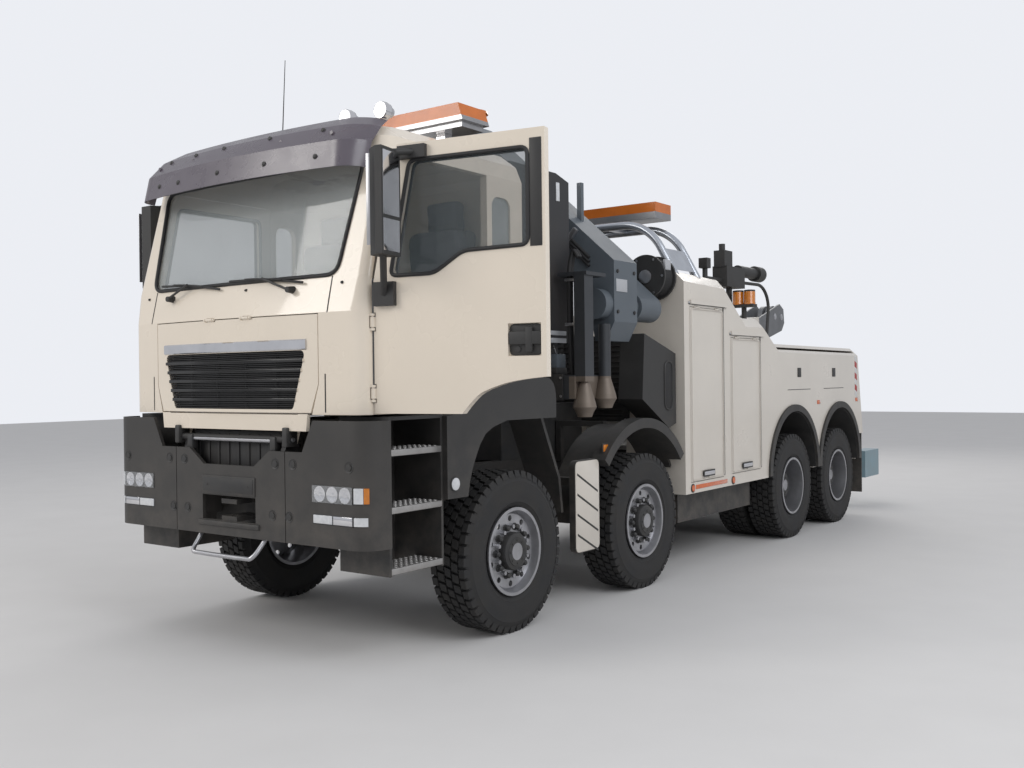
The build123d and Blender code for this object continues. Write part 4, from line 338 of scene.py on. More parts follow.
def pointing(origin, axis):
    """The place of a part drawn along Z, at a point and along an axis."""
    return Matrix.Translation(origin) @ Vector(axis).to_track_quat("Z", "Y").to_matrix().to_4x4()


class Shape:
    """A mesh of bevelled boxes, bars, plates, turned profiles and skins, in several finishes."""

    def __init__(self, first, local=False):
        self.finishes = [first]
        self.index = 0
        self.mesh = bmesh.new()
        self.spot = as_given if local else spot

    def paint(self, name):
        """Sets the finish of what is added from now on."""
        if name not in self.finishes:
            self.finishes.append(name)
        self.index = self.finishes.index(name)

    def take(self, part, place=Matrix()):
        """Adds a bmesh, at a place, in the finish that is set."""
        bmesh.ops.transform(part, matrix=place, verts=part.verts)
        for face in part.faces:
            face.material_index = self.index
        self.merge(part)

    def merge(self, part):
        """Adds a bmesh with the finishes it has."""
        data = bpy.data.meshes.new("part")
        part.to_mesh(data)
        part.free()
        self.mesh.from_mesh(data)
        bpy.data.meshes.remove(data)

    def box(self, x, y, height, edge=0.003, turn=None):
        """A bevelled box between pairs of coordinates, turned about its own middle."""
        part = bmesh.new()
        bmesh.ops.create_cube(part, size=1)
        low, high = (self.spot(*corner) for corner in zip(x, y, height))
        bmesh.ops.scale(part, vec=high - low, verts=part.verts)
        bevelled(part, edge)
        place = Matrix.Translation((low + high) / 2)
        if turn:
            place = place @ Matrix.Rotation(radians(turn[1]), 4, turn[0])
        self.take(part, place)

    def boxes(self, *rows):
        """Bevelled boxes, each with its finish."""
        for name, *sizes in rows:
            self.paint(name)
            self.box(*sizes)

    def rod(self, start, reach, radius, end_radius=None, sides=20):
        """A round bar, or a cone, from a point as far as it reaches along each axis."""
        part = bmesh.new()
        reach = Vector(reach)
        bmesh.ops.create_cone(part, cap_ends=True, segments=sides, radius1=radius,
                              radius2=radius if end_radius is None else end_radius, depth=reach.length)
        self.take(part, pointing(self.spot(*start) + reach / 2, reach))

    def skin(self, rings, closed=False, edge=0.0):
        """A closed skin over rings with the same number of points, capped unless the rings close."""
        part = bmesh.new()
        made = [[part.verts.new(point) for point in ring] for ring in rings]
        for first, second in zip(made, made[1:] + made[:1] if closed else made[1:]):
            for k in range(len(first)):
                part.faces.new((first[k - 1], first[k], second[k], second[k - 1]))
        if not closed:
            part.faces.new(made[0][::-1])
            part.faces.new(made[-1])
        bmesh.ops.recalc_face_normals(part, faces=part.faces)
        if edge:
            bevelled(part, edge)
        self.take(part)

    def plate(self, outline, inner, outer, edge):
        """An outline of lengths and heights, as thick as from one side place to another."""
        self.skin([[self.spot(x, *point) for point in outline] for x in (inner, outer)], edge=edge)

    def lathe(self, origin, axis, profile, sides=40):
        """Pairs of radius and distance along an axis, turned round it."""
        part = bmesh.new()
        rings = [[part.verts.new((*point, along)) for point in circle(radius, sides if radius else 1)]
                 for radius, along in profile]
        for pair in zip(rings, rings[1:]):
            for k in range(sides):
                corners = [pair[ring][(k + step) % len(pair[ring])]
                           for ring, step in ((0, 0), (0, 1), (1, 1), (1, 0))]
                part.faces.new(list(dict.fromkeys(corners)))
        bmesh.ops.recalc_face_normals(part, faces=part.faces)
        self.take(part, pointing(self.spot(*origin), axis))

    def tube(self, path, radius, sides=10, closed=False):
        """A round line through points."""
        points = [self.spot(*point) for point in path]
        rings = []
        across = None
        for k, point in enumerate(points):
            after = points[(k + 1) % len(points)] if closed else points[min(k + 1, len(points) - 1)]
            before = points[k - 1] if closed or k else point
            ahead = (after - before).normalized()
            across = ahead.orthogonal() if across is None else across - ahead * across.dot(ahead)
            across.normalize()
            other = ahead.cross(across)
            rings.append([point + across * a + other * b for a, b in circle(radius, sides)])
        self.skin(rings, closed)

    def twin(self):
        """Adds the mirror image on the other side."""
        other = self.mesh.copy()
        mirrored(other)
        self.merge(other)

    def data(self, name):
        """The finished mesh without slivers, smooth but for its sharp edges."""
        bmesh.ops.dissolve_degenerate(self.mesh, dist=SLIVER, edges=self.mesh.edges)
        for face in self.mesh.faces:
            face.smooth = True
        for edge in self.mesh.edges:
            edge.smooth = len(edge.link_faces) == 2 and edge.calc_face_angle() < SHARP
        made = bpy.data.meshes.new(name)
        self.mesh.to_mesh(made)
        for finish_name in self.finishes:
            made.materials.append(MATERIALS[finish_name])
        return made


def piece(name, shape, body, place=Matrix()):
    """Makes a shape, or a mesh that is already made, into a piece that rides on a body."""
    data = shape.data(name) if isinstance(shape, Shape) else shape
    made = bpy.data.objects.new(name, data)
    SCENE.collection.objects.link(made)
    made.matrix_world = place
    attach(made, body)
    return made


def eased(points, steps=6):
    """A smooth line through points."""
    points = [Vector(point) for point in (points[0], *points, points[-1])]
    line = []
    for a, b, c, d in zip(points, points[1:], points[2:], points[3:]):
        for step in range(steps):
            t = step / steps
            line.append(0.5 * (2 * b + (c - a) * t + (2 * a - 5 * b + 4 * c - d) * t ** 2
                               + (3 * b - a - 3 * c + d) * t ** 3))
    return [*line, points[-1]]


def rounded(points, radius, steps=5):
    """A flat outline with its corners turned to arcs."""
    line = []
    for k, point in enumerate(points):
        corner = Vector(point)
        before, after = Vector(points[k - 1]) - corner, Vector(points[(k + 1) % len(points)]) - corner
        start = corner + before.normalized() * radius
        end = corner + after.normalized() * radius
        for step in range(steps + 1):
            t = step / steps
            line.append(start * (1 - t) ** 2 + corner * 2 * t * (1 - t) + end * t ** 2)
    return line


def rectangle(y, height, radius, steps=5):
    """The outline of a rectangle with rounded corners."""
    (front, rear), (low, high) = y, height
    return rounded([(front, low), (rear, low), (rear, high), (front, high)], radius, steps)


def slanted(y, height, drop, thick):
    """The outline of a strip that drops from front to rear."""
    (front, rear), end = y, height - drop
    return (front, height), (rear, end), (rear, end + thick), (front, height + thick)


# Tyres: turned carcass with ridges, and five rows of tread blocks, each with its place, width and shift
TYRE_R = 0.548
TYRE_PROFILE = pairs(292, 104, 299, 127, 322, 140, 332, 147, 336, 151, 342, 150, 372, 155.5, 420, 157.5,
                     462, 154, 474, 155, 482, 150, 508, 146, 524, 138, 528, 120)
TREAD_ROWS = ((-0.118, 0.044, 0), (-0.060, 0.050, 0.5), (0, 0.046, 0), (0.060, 0.050, 0.5), (0.118, 0.044, 0))
TREAD_PITCHES = 46
TREAD_PITCH = 2 * pi / TREAD_PITCHES
TREAD_FILL = 0.78
TREAD_BASE_R = 0.526
TREAD_LEAN = 0.012
TREAD_TAPER = 0.93
SHOULDER_FROM = 0.1
SHOULDER_OUT = 0.010
SHOULDER_DOWN = 0.024
TWIN_HALF = 0.179


def tread_block(part, middle, turn, row, width):
    """One tread block at a turn of the wheel; the outer ones run down over the shoulder."""
    outer = abs(row) > SHOULDER_FROM
    sign = 1 if row > 0 else -1
    corners = []
    for radius, taper in ((TREAD_BASE_R, 1.0), (TYRE_R, TREAD_TAPER)):
        for x_way, turn_way in ((-1, -1), (1, -1), (1, 1), (-1, 1)):
            x = middle + row + x_way * width / 2
            reach = radius
            if outer and x_way == sign and radius == TREAD_BASE_R:
                x += sign * SHOULDER_OUT
                reach -= SHOULDER_DOWN
            at = turn + turn_way * TREAD_PITCH * TREAD_FILL / 2 * taper + (0 if outer else x_way * TREAD_LEAN)
            corners.append(part.verts.new((x, reach * cos(at), reach * sin(at))))
    part.faces.new(corners[4:])
    for k in range(4):
        part.faces.new((corners[k], corners[(k + 1) % 4], corners[4 + (k + 1) % 4], corners[4 + k]))


def tyre_shape(middles):
    """Tyres side by side on one axis, about the wheel's middle."""
    shape = Shape("tyre_rubber", local=True)
    for middle in middles:
        profile = [*TYRE_PROFILE, *((radius, -x) for radius, x in reversed(TYRE_PROFILE))]
        shape.lathe((middle, 0, 0), LEFTWARD, profile, 96)
        part = bmesh.new()
        for row, width, shift in TREAD_ROWS:
            for k in range(TREAD_PITCHES):
                tread_block(part, middle, (k + shift) * TREAD_PITCH, row, width)
        bmesh.ops.recalc_face_normals(part, faces=part.faces)
        shape.take(part)
    return shape


# Hubs: a black drum with a stepped cap, and ten capped nuts, from the wheel disc to the hub's face
SINGLE_HUB = (1.190, 1.252)
TWIN_HUB = (0.924, 1.150)
HUB_STEPS = pairs(129.5, -22, 124, -10, 100, -4, 97, 1, 60, 1, 57, -0.5, 0, -0.5)
HUB_NUT = pairs(26, 0, 26, 5, 19, 7, 18.5, 30, 12, 38, 0, 39)
CAP_BOLTS_R = 0.078
NUTS_R = 0.1675


def hub_shape(disc, face):
    """A hub's cover over the turned one, from the wheel disc to its outer face, its bolts and its nuts."""
    shape = Shape("hub_black", local=True)
    profile = [(HUB_STEPS[0][0], disc), *((radius, face + x) for radius, x in HUB_STEPS)]
    shape.lathe((0, 0, 0), LEFTWARD, profile, 48)
    for place in circle(CAP_BOLTS_R, 8):
        shape.rod((face - 0.006, *place), (0.0105, 0, 0), 0.008, sides=6)
    for place in circle(NUTS_R, 10):
        shape.lathe((disc, *place), LEFTWARD, HUB_NUT, 12)
    return shape


def wheel_pieces(axles, middles, disc, face):
    """Tyres with tread in place of the plain ones, and hub covers."""
    tyre_mesh, hub_mesh = tyre_shape(middles).data("tyre"), hub_shape(disc, face).data("hub")
    for axle in axles:
        for side, sign in SIDES.items():
            node, body = f"tyre_{axle}_{side}", f"wheel_{axle}_{side}"
            low, high = (Vector(corner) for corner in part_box(node))
            middle = (low + high) / 2
            facing = Matrix.Rotation(0 if sign > 0 else pi, 4, "Z")
            tyre = piece(f"tread_{node}", tyre_mesh, body, Matrix.Translation(middle) @ facing)
            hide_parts(node)
            piece(f"hub_cover_{axle}_{side}", hub_mesh, body,
                  Matrix.Translation((0, middle.y, middle.z)) @ facing)


# Cab face: height, front at the middle, how far it falls back, and at what half width
CAB_FACE = ((1.515, -1.400, 0.060, 1.02), (2.127, -1.400, 0.060, 1.02), (2.330, -1.335, 0.036, 1.054),
            (3.095, -1.150, 0.040, 1.03), (3.205, -1.120, 0.045, 0.972))
VISOR_FACE = ((2.985, -1.425, 0.075, 0.90), (3.150, -1.388, 0.070, 0.882), (3.260, -1.290, 0.060, 0.835),
              (3.335, -1.150, 0.040, 0.76))
BAR_STEPS = 16
BAR_SOFT = 0.006


def face_at(x, height, sections=CAB_FACE):
    """The front of a curved face at a side place and a height."""
    low, high = next(((a, b) for a, b in zip(sections, sections[1:]) if height <= b[0]), sections[-2:])
    part = (height - low[0]) / (high[0] - low[0])
    front, sag, half = (between(a, b, part) for a, b in zip(low[1:], high[1:]))
    return front + sag * (x / half) ** 2


def bar_across(shape, half, low, high, proud, deep):
    """A level bar that follows the cab's face."""
    rings = []
    soft = min(BAR_SOFT, (high - low) / 4)
    for k in range(BAR_STEPS + 1):
        x = between(-half, half, k / BAR_STEPS)
        front = face_at(x, (low + high) / 2) - proud
        section = ((deep, low), (soft, low), (0, low + soft), (0, high - soft), (soft, high), (deep, high))
        rings.append([spot(x, front + y, height) for y, height in section])
    shape.skin(rings)


# Grille: louvres, cross bars, and backing strips, each with its lowest and highest edge and half width
LOUVRES = 30
CROSS_BARS = 5
GRILLE = (1.546, 1.905)
BACKING = ((1.545, 1.660, 0.590), (1.658, 1.790, 0.625), (1.788, 1.907, 0.660))


def grille_louvres(shape):
    """Fine louvres and their black backing in the front flap, with the bright bar above."""
    for k in range(LOUVRES):
        height = 1.5535 + 0.0118 * k
        half = between(0.584, 0.688, k / (LOUVRES - 1))
        bar_across(shape, half, height - 0.0035, height + 0.0025, -0.004, 0.020)
    for k in range(1, CROSS_BARS + 1):
        part = k / (CROSS_BARS + 1)
        height = between(*GRILLE, part)
        shape.box(near(0, 0.589 + 0.105 * part), (-1.3865, -1.3630), near(height, 0.0105))
    shape.paint("dark_plastic")
    for low, high, half in BACKING:
        bar_across(shape, half, low, high, -0.040, 0.006)
    for x in (-0.42, -0.14, 0.14, 0.42):
        shape.box(near(x, 0.006), near(face_at(x, 1.7) + 0.028, 0.008), (1.55, 1.90), 0.002)
    shape.paint("chrome")
    bar_across(shape, 0.700, 1.908, 1.972, 0.009, 0.011)


# Windscreen: its outline, and the seams of the cab's front: side place, lowest and highest end
WINDSCREEN = pairs(-900, 2352, 900, 2352, 968, 3062, -968, 3062)
RUBBER_STEP = 0.08
SEAMS = ((0.866, 2.125, 2.345), (0.846, 1.530, 1.760))
SEAM_SECTION = pairs(-4, 2, -4, -1.6, 4, -1.6, 4, 2)
# Wipers: the blade's two ends and the arm's pivot, each a side place and a height
WIPERS = ((-0.791, 2.381, -0.129, 2.322, -0.655, 2.285), (-0.038, 2.366, 0.645, 2.318, 0.554, 2.277))
NOZZLES = pairs(-676, 2297, 120, 2300, -952, 2300, 952, 2300)


def rubber_line():
    """The windscreen's rounded outline on the cab's face."""
    line = rounded(WINDSCREEN, 0.085)
    dense = []
    for point, following in zip(line, line[1:] + line[:1]):
        count = max(1, int((following - point).length / RUBBER_STEP))
        dense += [point.lerp(following, t / count) for t in range(count)]
    return [(p.x, face_at(p.x, p.y) - 0.003, p.y) for p in dense]


def windscreen_trim(shape):
    """Rubber round the windscreen, two wipers, washer nozzles and seams of the cab's front."""
    shape.tube(rubber_line(), 0.013, 8, closed=True)
    for sign in SIDES.values():
        for side_place, low, high in SEAMS:
            rings = []
            for k in range(7):
                x, height = sign * side_place, between(low, high, k / 6)
                rings.append([spot(x + dx, face_at(x, height) + dy, height) for dx, dy in SEAM_SECTION])
            shape.skin(rings)
    shape.paint("dark_plastic")
    for x0, h0, x1, h1, x, h in WIPERS:
        blade = [(between(x0, x1, k / 8), between(h0, h1, k / 8) + 0.012 * sin(pi * k / 8)) for k in range(9)]
        tip_x, tip_h = blade[4]
        arm = [(between(x, tip_x, k / 5), between(h, tip_h + 0.008, k / 5)) for k in range(6)]
        for line, proud, rise, radius, sides in (
                (blade, 0.020, 0, 0.008, 6), (blade[2:7], 0.038, 0.006, 0.005, 6), (arm, 0.044, 0, 0.008, 8)):
            shape.tube([(a, face_at(a, b) - proud, b + rise) for a, b in line], radius, sides)
        shape.rod((x, face_at(x, h) + 0.010, h), (0, -0.060, 0), 0.024, 0.018)
    for x, h in NOZZLES:
        shape.rod((x, face_at(x, h) + 0.005, h), (0, -0.015, 0), 0.011, 0.007, 12)


# Visor and roof
VISOR_BOLTS = pairs(-750, 3236, -440, 3240, -130, 3242, 310, 3243, 754, 3236,
                    -760, 3062, -512, 3056, -75, 3062, 366, 3062, 777, 3060)
VISOR_BOLT = pairs(17, 0, 17, 7.5, 10, 10, 9, 14, 0, 16)
AERIAL_FOOT = pairs(30, 0, 28, 30, 14, 50, 10, 90, 0, 92)
ROOF_LAMP = pairs(54, 0, 56, 12, 56, 45, 50, 52, 47, 46, 0, 40)
BEACON_DOME = pairs(105, 0, 98, 20, 60, 32, 0, 36)


def visor_bolts(shape):
    """Bolts with washers through the sun visor."""
    for x, height in VISOR_BOLTS:
        shape.lathe((x, face_at(x, height, VISOR_FACE) + 0.004, height), FORWARD, VISOR_BOLT, 16)


def roof_trim(shape):
    """Whip aerial on its foot, lamp rings, and the bands and domes of the roof beacon."""
    shape.lathe((0.075, -0.985, 3.300), UPWARD, AERIAL_FOOT, 20)
    shape.rod((0.075, -0.985, 3.380), (0.010, 0.020, 0.480), 0.004, 0.0025, 8)
    shape.paint("chrome")
    for x in (0.626, 0.935):
        shape.lathe((x, -0.905, 3.394), FORWARD, ROOF_LAMP, 28)
    for x in (-0.62, -0.21, 0.21, 0.62):
        shape.box(near(x, 0.010), (-0.004, 0.304), (3.462, 3.618), 0.004)
    shape.paint("amber_lens")
    for x in (-0.80, -0.41, 0.0, 0.41, 0.80):
        shape.lathe((x, 0.150, 3.600), UPWARD, BEACON_DOME, 24)


# Bumper trim
BUMPER_FACE = -1.410
BUMPER_BOLTS = pairs(450, 1212, 610, 1214, 420, 893, 572, 893, 1085, 1214)
BUMPER_BOLT = pairs(35, 0, 33, 4.5, 21, 0.8, 20.5, 6, 0, 7.5)
STEP_RAIL = ((0.322, -1.345, 0.790), (0.312, -1.400, 0.705), (0.290, -1.466, 0.630), (0.200, -1.469, 0.618))
EAR_CAP = pairs(30, 0, 29, 6, 0, 7)


def bumper_trim(shape):
    """Recessed bolts, a bare plate in its frame, the slot's lip, a bright step rail and a cross tube."""
    for x, height in BUMPER_BOLTS:
        for sign in SIDES.values():
            shape.lathe((sign * x, BUMPER_FACE + 0.002, height), FORWARD, BUMPER_BOLT, 24)
    shape.boxes(("dark_plastic", near(0, 0.262), (-1.417, -1.404), (0.996, 1.117), 0.004),
                ("dark_plastic", near(0, 0.30), (-1.424, -1.400), (0.790, 0.826), 0.009),
                ("hub_black", near(0, 0.246), (-1.4195, -1.412), (1.014, 1.103), 0.001),
                ("hub_black", near(-0.41, 0.026), (-1.398, -1.346), (1.280, 1.376), 0.008),
                ("hub_black", near(0.41, 0.026), (-1.398, -1.346), (1.280, 1.376), 0.008))
    for x in (-0.20, 0.20):
        shape.rod((x, -1.418, 1.058), (0, -0.0045, 0), 0.007, 0.005, 10)
    shape.paint("steel")
    shape.tube(eased([*STEP_RAIL, *((-x, y, height) for x, y, height in reversed(STEP_RAIL))]), 0.0145, 12)
    shape.rod((-0.42, -1.372, 1.352), (0.84, 0, 0), 0.016)


def pivot_covers(shape):
    """Dark sleeves and bolts on the two ears that the cab tilts about."""
    shape.box((0.511, 0.554), (-1.409, -1.316), (1.316, 1.436), 0.008)
    shape.lathe((0.553, -1.365, 1.360), LEFTWARD, EAR_CAP, 20)
    shape.paint("steel")
    shape.rod((0.556, -1.365, 1.360), (0.016, 0, 0), 0.014, sides=6)


def notch_panel(shape):
    """A ribbed panel behind the notch of the bumper, under the cab's front edge."""
    shape.box(near(0, 0.452), (-1.322, -1.306), (1.080, 1.404), 0.004)
    for k in range(9):
        shape.box(near(-0.400 + 0.100 * k, 0.012), (-1.330, -1.320), (1.100, 1.385), 0.004)
    shape.paint("steel")
    for x in (-0.430, 0.430):
        for height in (1.130, 1.370):
            shape.rod((x, -1.321, height), (0, -0.010, 0), 0.009, sides=6)


# Head lamps, and the lamps below them, with strips that wrap round the bumper's corner
CORNER_X, CORNER_Y = 1.095, -1.260
CORNER_RADII = (0.146, 0.157)
LAMP_X = (0.783, 1.118)
UPPER_LAMP = (1.004, 1.098)
LOWER_LAMP = (0.876, 0.926)
HEAD_LAMP = pairs(47, 0, 47, 5.5, 42, 5.5, 30, 2, 14, 1, 12, 4, 0, 5)


def wrapped(shape, start, end, low, high):
    """A strip round the bumper's corner, between two angles and two heights."""
    rings = []
    for k in range(9):
        turn = radians(between(start, end, k / 8))
        inner, outer = ((CORNER_X + r * sin(turn), CORNER_Y - r * cos(turn)) for r in CORNER_RADII)
        rings.append([spot(*inner, low), spot(*outer, low + 0.003), spot(*outer, high - 0.003),
                      spot(*inner, high)])
    shape.skin(rings)


def lamp_inserts(shape):
    """Reflectors, amber corners and clear covers of the head lamps, and the lamps below them."""
    for height in ((0.999, 1.103), (0.869, 0.933)):
        shape.box(LAMP_X, (-1.4115, -1.400), height, 0.002)
    shape.paint("chrome")
    for x in (0.845, 0.950, 1.055):
        shape.lathe((x, -1.4112, 1.051), FORWARD, HEAD_LAMP, 32)
    shape.paint("amber_lens")
    wrapped(shape, 34, 46, *UPPER_LAMP)
    shape.boxes(("chrome", (0.956, 1.112), (-1.4160, BUMPER_FACE), LOWER_LAMP, 0.0025),
                ("lamp_glass", (0.785, 1.116), (-1.4200, -1.4185), (1.001, 1.101), 0.0006),
                ("white_lens", (0.790, 0.948), (-1.4170, BUMPER_FACE), LOWER_LAMP))
    wrapped(shape, 11, 33, *UPPER_LAMP)
    wrapped(shape, 11, 43, 0.874, 0.928)


# Doors, drawn closed on the left
DOOR_HINGE = (1.124, -1.240, 0)
DOOR_OPEN = 79
DOOR_WINDOW = pairs(-1116, 2325, -822, 2325, -635, 2442, -230, 2452, -230, 2985, -978, 2985)
DOOR_CARD = pairs(-1140, 1800, -380, 1800, -190, 1860, -190, 2390, -600, 2380, -810, 2265, -1140, 2265)
PILLAR_STRIP = pairs(-218, 2440, -146, 2440, -146, 3030, -218, 3030)
DOOR_LOCK = pairs(17, 0, 16, 6, 0, 7)
MIRROR_GLASS = pairs(2640, 3000, 2440, 2620)


def door_piece(side):
    """Window rubber, pillar strip, handle in its recess, inner card and mirror glass of a door, and a bright
    strip on the mirror's housing that is a painted reflection.
    """
    shape = Shape("rubber_black")
    for x in (1.1205, 1.0645):
        shape.tube([(x, *point) for point in rounded(DOOR_WINDOW, 0.045)], 0.012, 8, closed=True)
    shape.paint("dark_plastic")
    shape.plate(PILLAR_STRIP, 1.1185, 1.1235, 0.002)
    shape.plate(rectangle((-0.357, -0.163), (1.845, 2.019), 0.03), 1.0975, 1.1035, 0.001)
    shape.lathe((1.102, -0.305, 1.880), LEFTWARD, DOOR_LOCK, 18)
    shape.boxes(("dark_plastic", (1.100, 1.1222), (-0.356, -0.164), (1.905, 1.977), 0.005),
                ("dark_plastic", (1.104, 1.1250), (-0.255, -0.213), (1.862, 2.002), 0.007),
                ("dark_plastic", (1.022, 1.052), (-1.04, -0.34), (1.84, 1.98), 0.012),
                ("steel", (1.036, 1.052), (-0.38, -0.26), (2.20, 2.24), 0.006),
                # Bright steel strip on the mirror's glossy black housing: a painted reflection, standing in
                # for the light that the housing reflects
                ("steel", (1.4085, 1.4115), (-1.084, -1.060), (2.470, 2.980), 0.0012),
                ("interior_plastic", (1.000, 1.052), (-0.79, -0.26), (2.06, 2.12), 0.015))
    shape.plate(DOOR_CARD, 1.050, 1.067, 0.005)
    shape.paint("chrome")
    for height in MIRROR_GLASS:
        shape.box((1.226, 1.394), (-0.9865, -0.9825), height, 0.0015)
    swing = Matrix()
    if side == "right":
        mirrored(shape.mesh)
    else:
        hinge = Matrix.Translation((DOOR_HINGE[0], aft(DOOR_HINGE[1]), DOOR_HINGE[2]))
        swing = hinge @ Matrix.Rotation(radians(-DOOR_OPEN), 4, "Z") @ hinge.inverted()
    piece(f"door_trim_{side}", shape, f"door_{side}", swing)


# Steps, fenders and side plates
STEP_TOPS = (1.300, 0.960, 0.600)
STEP_Y = (-1.196, -0.736)
STEP_STUD = pairs(15, 0, 13.8, 3.5, 11.2, 3.5, 10.8, 0.5)
SIDE_LAMP = (1.247, -0.651, 1.062)
SIDE_LAMP_RIM = pairs(48, 0, 46, 8, 40, 10)
SIDE_LAMP_LENS = pairs(40, 6, 39, 12, 28, 17, 0, 19)


def step_plates(shape):
    """Pale studded plates with a folded lip on the steps."""
    for top in STEP_TOPS:
        shape.box((0.985, 1.214), STEP_Y, (top + 0.0005, top + 0.007), 0.002)
        shape.box((1.2085, 1.2145), STEP_Y, (top - 0.030, top + 0.006), 0.002)
    for place in [(1.010 + 0.042 * row, -1.172 + 0.0455 * column, top + 0.007)
                  for top in STEP_TOPS for row in range(5) for column in range(10)]:
        shape.paint("tread_alloy")
        shape.lathe(place, UPWARD, STEP_STUD, 12)
        shape.paint("hub_black")
        shape.rod((*place[:2], place[2] - 0.0005), (0, 0, 0.0013), 0.0115, sides=10)


def fender_gear(shape):
    """Side lamps, cream plates with slanting dark grooves, and amber markers ahead of the second wheels."""
    shape.lathe(SIDE_LAMP, LEFTWARD, SIDE_LAMP_LENS, 28)
    shape.paint("body_paint")
    shape.plate(rectangle((0.806, 1.134), (0.416, 1.094), 0.046), 1.198, 1.2045, 0.002)
    shape.paint("hub_black")
    shape.lathe(SIDE_LAMP, LEFTWARD, SIDE_LAMP_RIM, 28)
    for k in range(4):
        shape.plate(slanted((0.826, 1.114), 1.010 - 0.150 * k, 0.150, -0.018), 1.2035, 1.2055, 0.0006)
    shape.boxes(("hub_black", (1.190, 1.206), (1.190, 1.275), (1.135, 1.210), 0.006),
                ("amber_lens", (1.203, 1.212), (1.198, 1.267), (1.145, 1.200), 0.005))


# Intake, crane and stabilisers
CRANE_PINS = pairs(-400, 3700, 1070, 2300)
CRANE_FACES = {-1: 1.398, 1: 1.762}
CRANE_PIN = pairs(60, 0, 60, 6, 40, 8, 38, 14, 0, 15)
CRANE_HOSE = ((-0.43, 0, 3.84), (-0.22, -0.004, 3.79), (0.20, 0, 3.40), (0.62, -0.004, 3.02), (0.98, 0, 2.68))
HOSE_CLIPS = pairs(-100, 3660, 360, 3250, 800, 2860)
END_BOLTS = pairs(1450, 2560, 1710, 2560, 1450, 2240, 1710, 2240)
LEVER_KNOB = pairs(0, -4, 12, 2, 14, 12, 9, 22, 0, 24)
LEG_HOSE = pairs(1105, 2640, 1062, 2690, 1024, 2560, 1018, 2300, 1022, 2000, 1036, 1740)


def intake_trim(shape):
    """Pale strips, a lamp strip, hinges and bolts on the air intake."""
    shape.boxes(("pale_alloy", (0.897, 0.9035), (0.860, 1.160), (2.052, 2.086), 0.002),
                ("pale_alloy", (0.897, 0.9035), (0.860, 1.160), (1.992, 2.030), 0.002),
                ("white_lens", (0.896, 0.906), (1.040, 1.085), (3.095, 3.240), 0.004))
    shape.paint("steel")
    for y in (0.55, 0.75, 0.95, 1.12):
        shape.rod((0.75, y, 3.305), (0, 0, 0.017), 0.016, 0.014, 12)
    for height in (2.20, 2.60, 3.00):
        shape.box((0.897, 0.9055), (0.455, 0.500), near(height, 0.03), 0.002)


def crane_trim(shape):
    """Pin caps, hoses along the boom, bolts and a bare plate on its end."""
    for drop, y in ((0.000, 1.386), (0.034, 1.384), (0.068, 1.386)):
        shape.tube(eased([(x, y + shift, height - drop) for x, shift, height in CRANE_HOSE]), 0.013)
    shape.paint("steel")
    for x, height in CRANE_PINS:
        for way, face in CRANE_FACES.items():
            shape.lathe((x, face, height), (0, way, 0), CRANE_PIN, 28)
    for x, height in HOSE_CLIPS:
        shape.box(near(x, 0.022), (1.366, 1.402), (height - 0.095, height + 0.085), 0.005, ("Y", 42))
    shape.paint("pale_alloy")
    shape.box((1.199, 1.204), (1.430, 1.600), (2.400, 2.500), 0.002)
    shape.paint("hub_black")
    for place in END_BOLTS:
        shape.rod((1.198, *place), (0.013, 0, 0), 0.016, 0.014, 6)


def valve_hose(x, k):
    """The line of a valve's hose, over the housing and down to the middle of the frame."""
    return eased([(x + 0.030, 1.128, 1.850), (x + 0.020, 1.210, 1.846), (x - 0.10, 1.300, 1.800),
                  (x * 0.4 - 0.05, 1.360, 1.720 - 0.012 * k),
                  (-0.148, 1.480 + 0.030 * k, 1.690 - 0.016 * k)], 5)


def valve_bank(shape):
    """Valve bank with levers on the stabiliser housing, its hoses, and studs round the housing's ends."""
    shape.box((0.300, 0.930), (0.975, 1.125), (1.749, 1.800), 0.006)
    for k in range(6):
        x = 0.335 + 0.100 * k
        shape.paint("hub_black")
        shape.lathe((x + 0.046, 1.012, 1.955), (0, -0.55, 0.83), LEVER_KNOB, 12)
        shape.paint("rubber_black")
        shape.tube(valve_hose(x, k), 0.012, 8)
        shape.paint("crane_grey")
        shape.box((x, x + 0.092), (0.990, 1.112), (1.798, 1.905), 0.006)
        shape.paint("steel")
        shape.rod((x + 0.046, 1.050, 1.903), (0, -0.040, 0.059), 0.006, sides=8)
        shape.rod((x + 0.030, 1.112, 1.850), (0, 0.018, 0), 0.015, sides=6)
    for x in (0.985, -0.985):
        for y, reach in ((0.972, -0.030), (1.128, 0.030)):
            for height in (1.580, 1.720):
                shape.rod((x, y, height), (0, reach, 0), 0.011, sides=6)


def leg_hoses(side):
    """Two hoses down the inner face of a leg's sleeve, with their clamps."""
    shape, sign = Shape("rubber_black"), SIDES[side]
    for y in (1.028, 1.062):
        shape.tube(eased([(sign * x, y, height) for x, height in LEG_HOSE]), 0.016)
    shape.paint("steel")
    for height in (2.120, 2.460):
        shape.box(near(sign * 1.0325, 0.0425), (1.008, 1.082), (height, height + 0.022))
    piece(f"leg_hoses_{side}", shape, f"stabiliser_{side}")


# Recovery body: front, rear, lowest and highest edge of the locker doors, and the trim on its sides
LOCKERS = {"front": (2.600, 3.260, 0.790, 2.330), "rear": (3.440, 4.110, 0.800, 2.080)}
MARKER_RIM = pairs(40, 0, 38, 7, 30, 8)
MARKER_LENS = pairs(30, 6, 26, 13, 0, 15)
DOOR_SEAMS = ((3.276, 0.800, 2.352), (4.126, 0.810, 2.102))


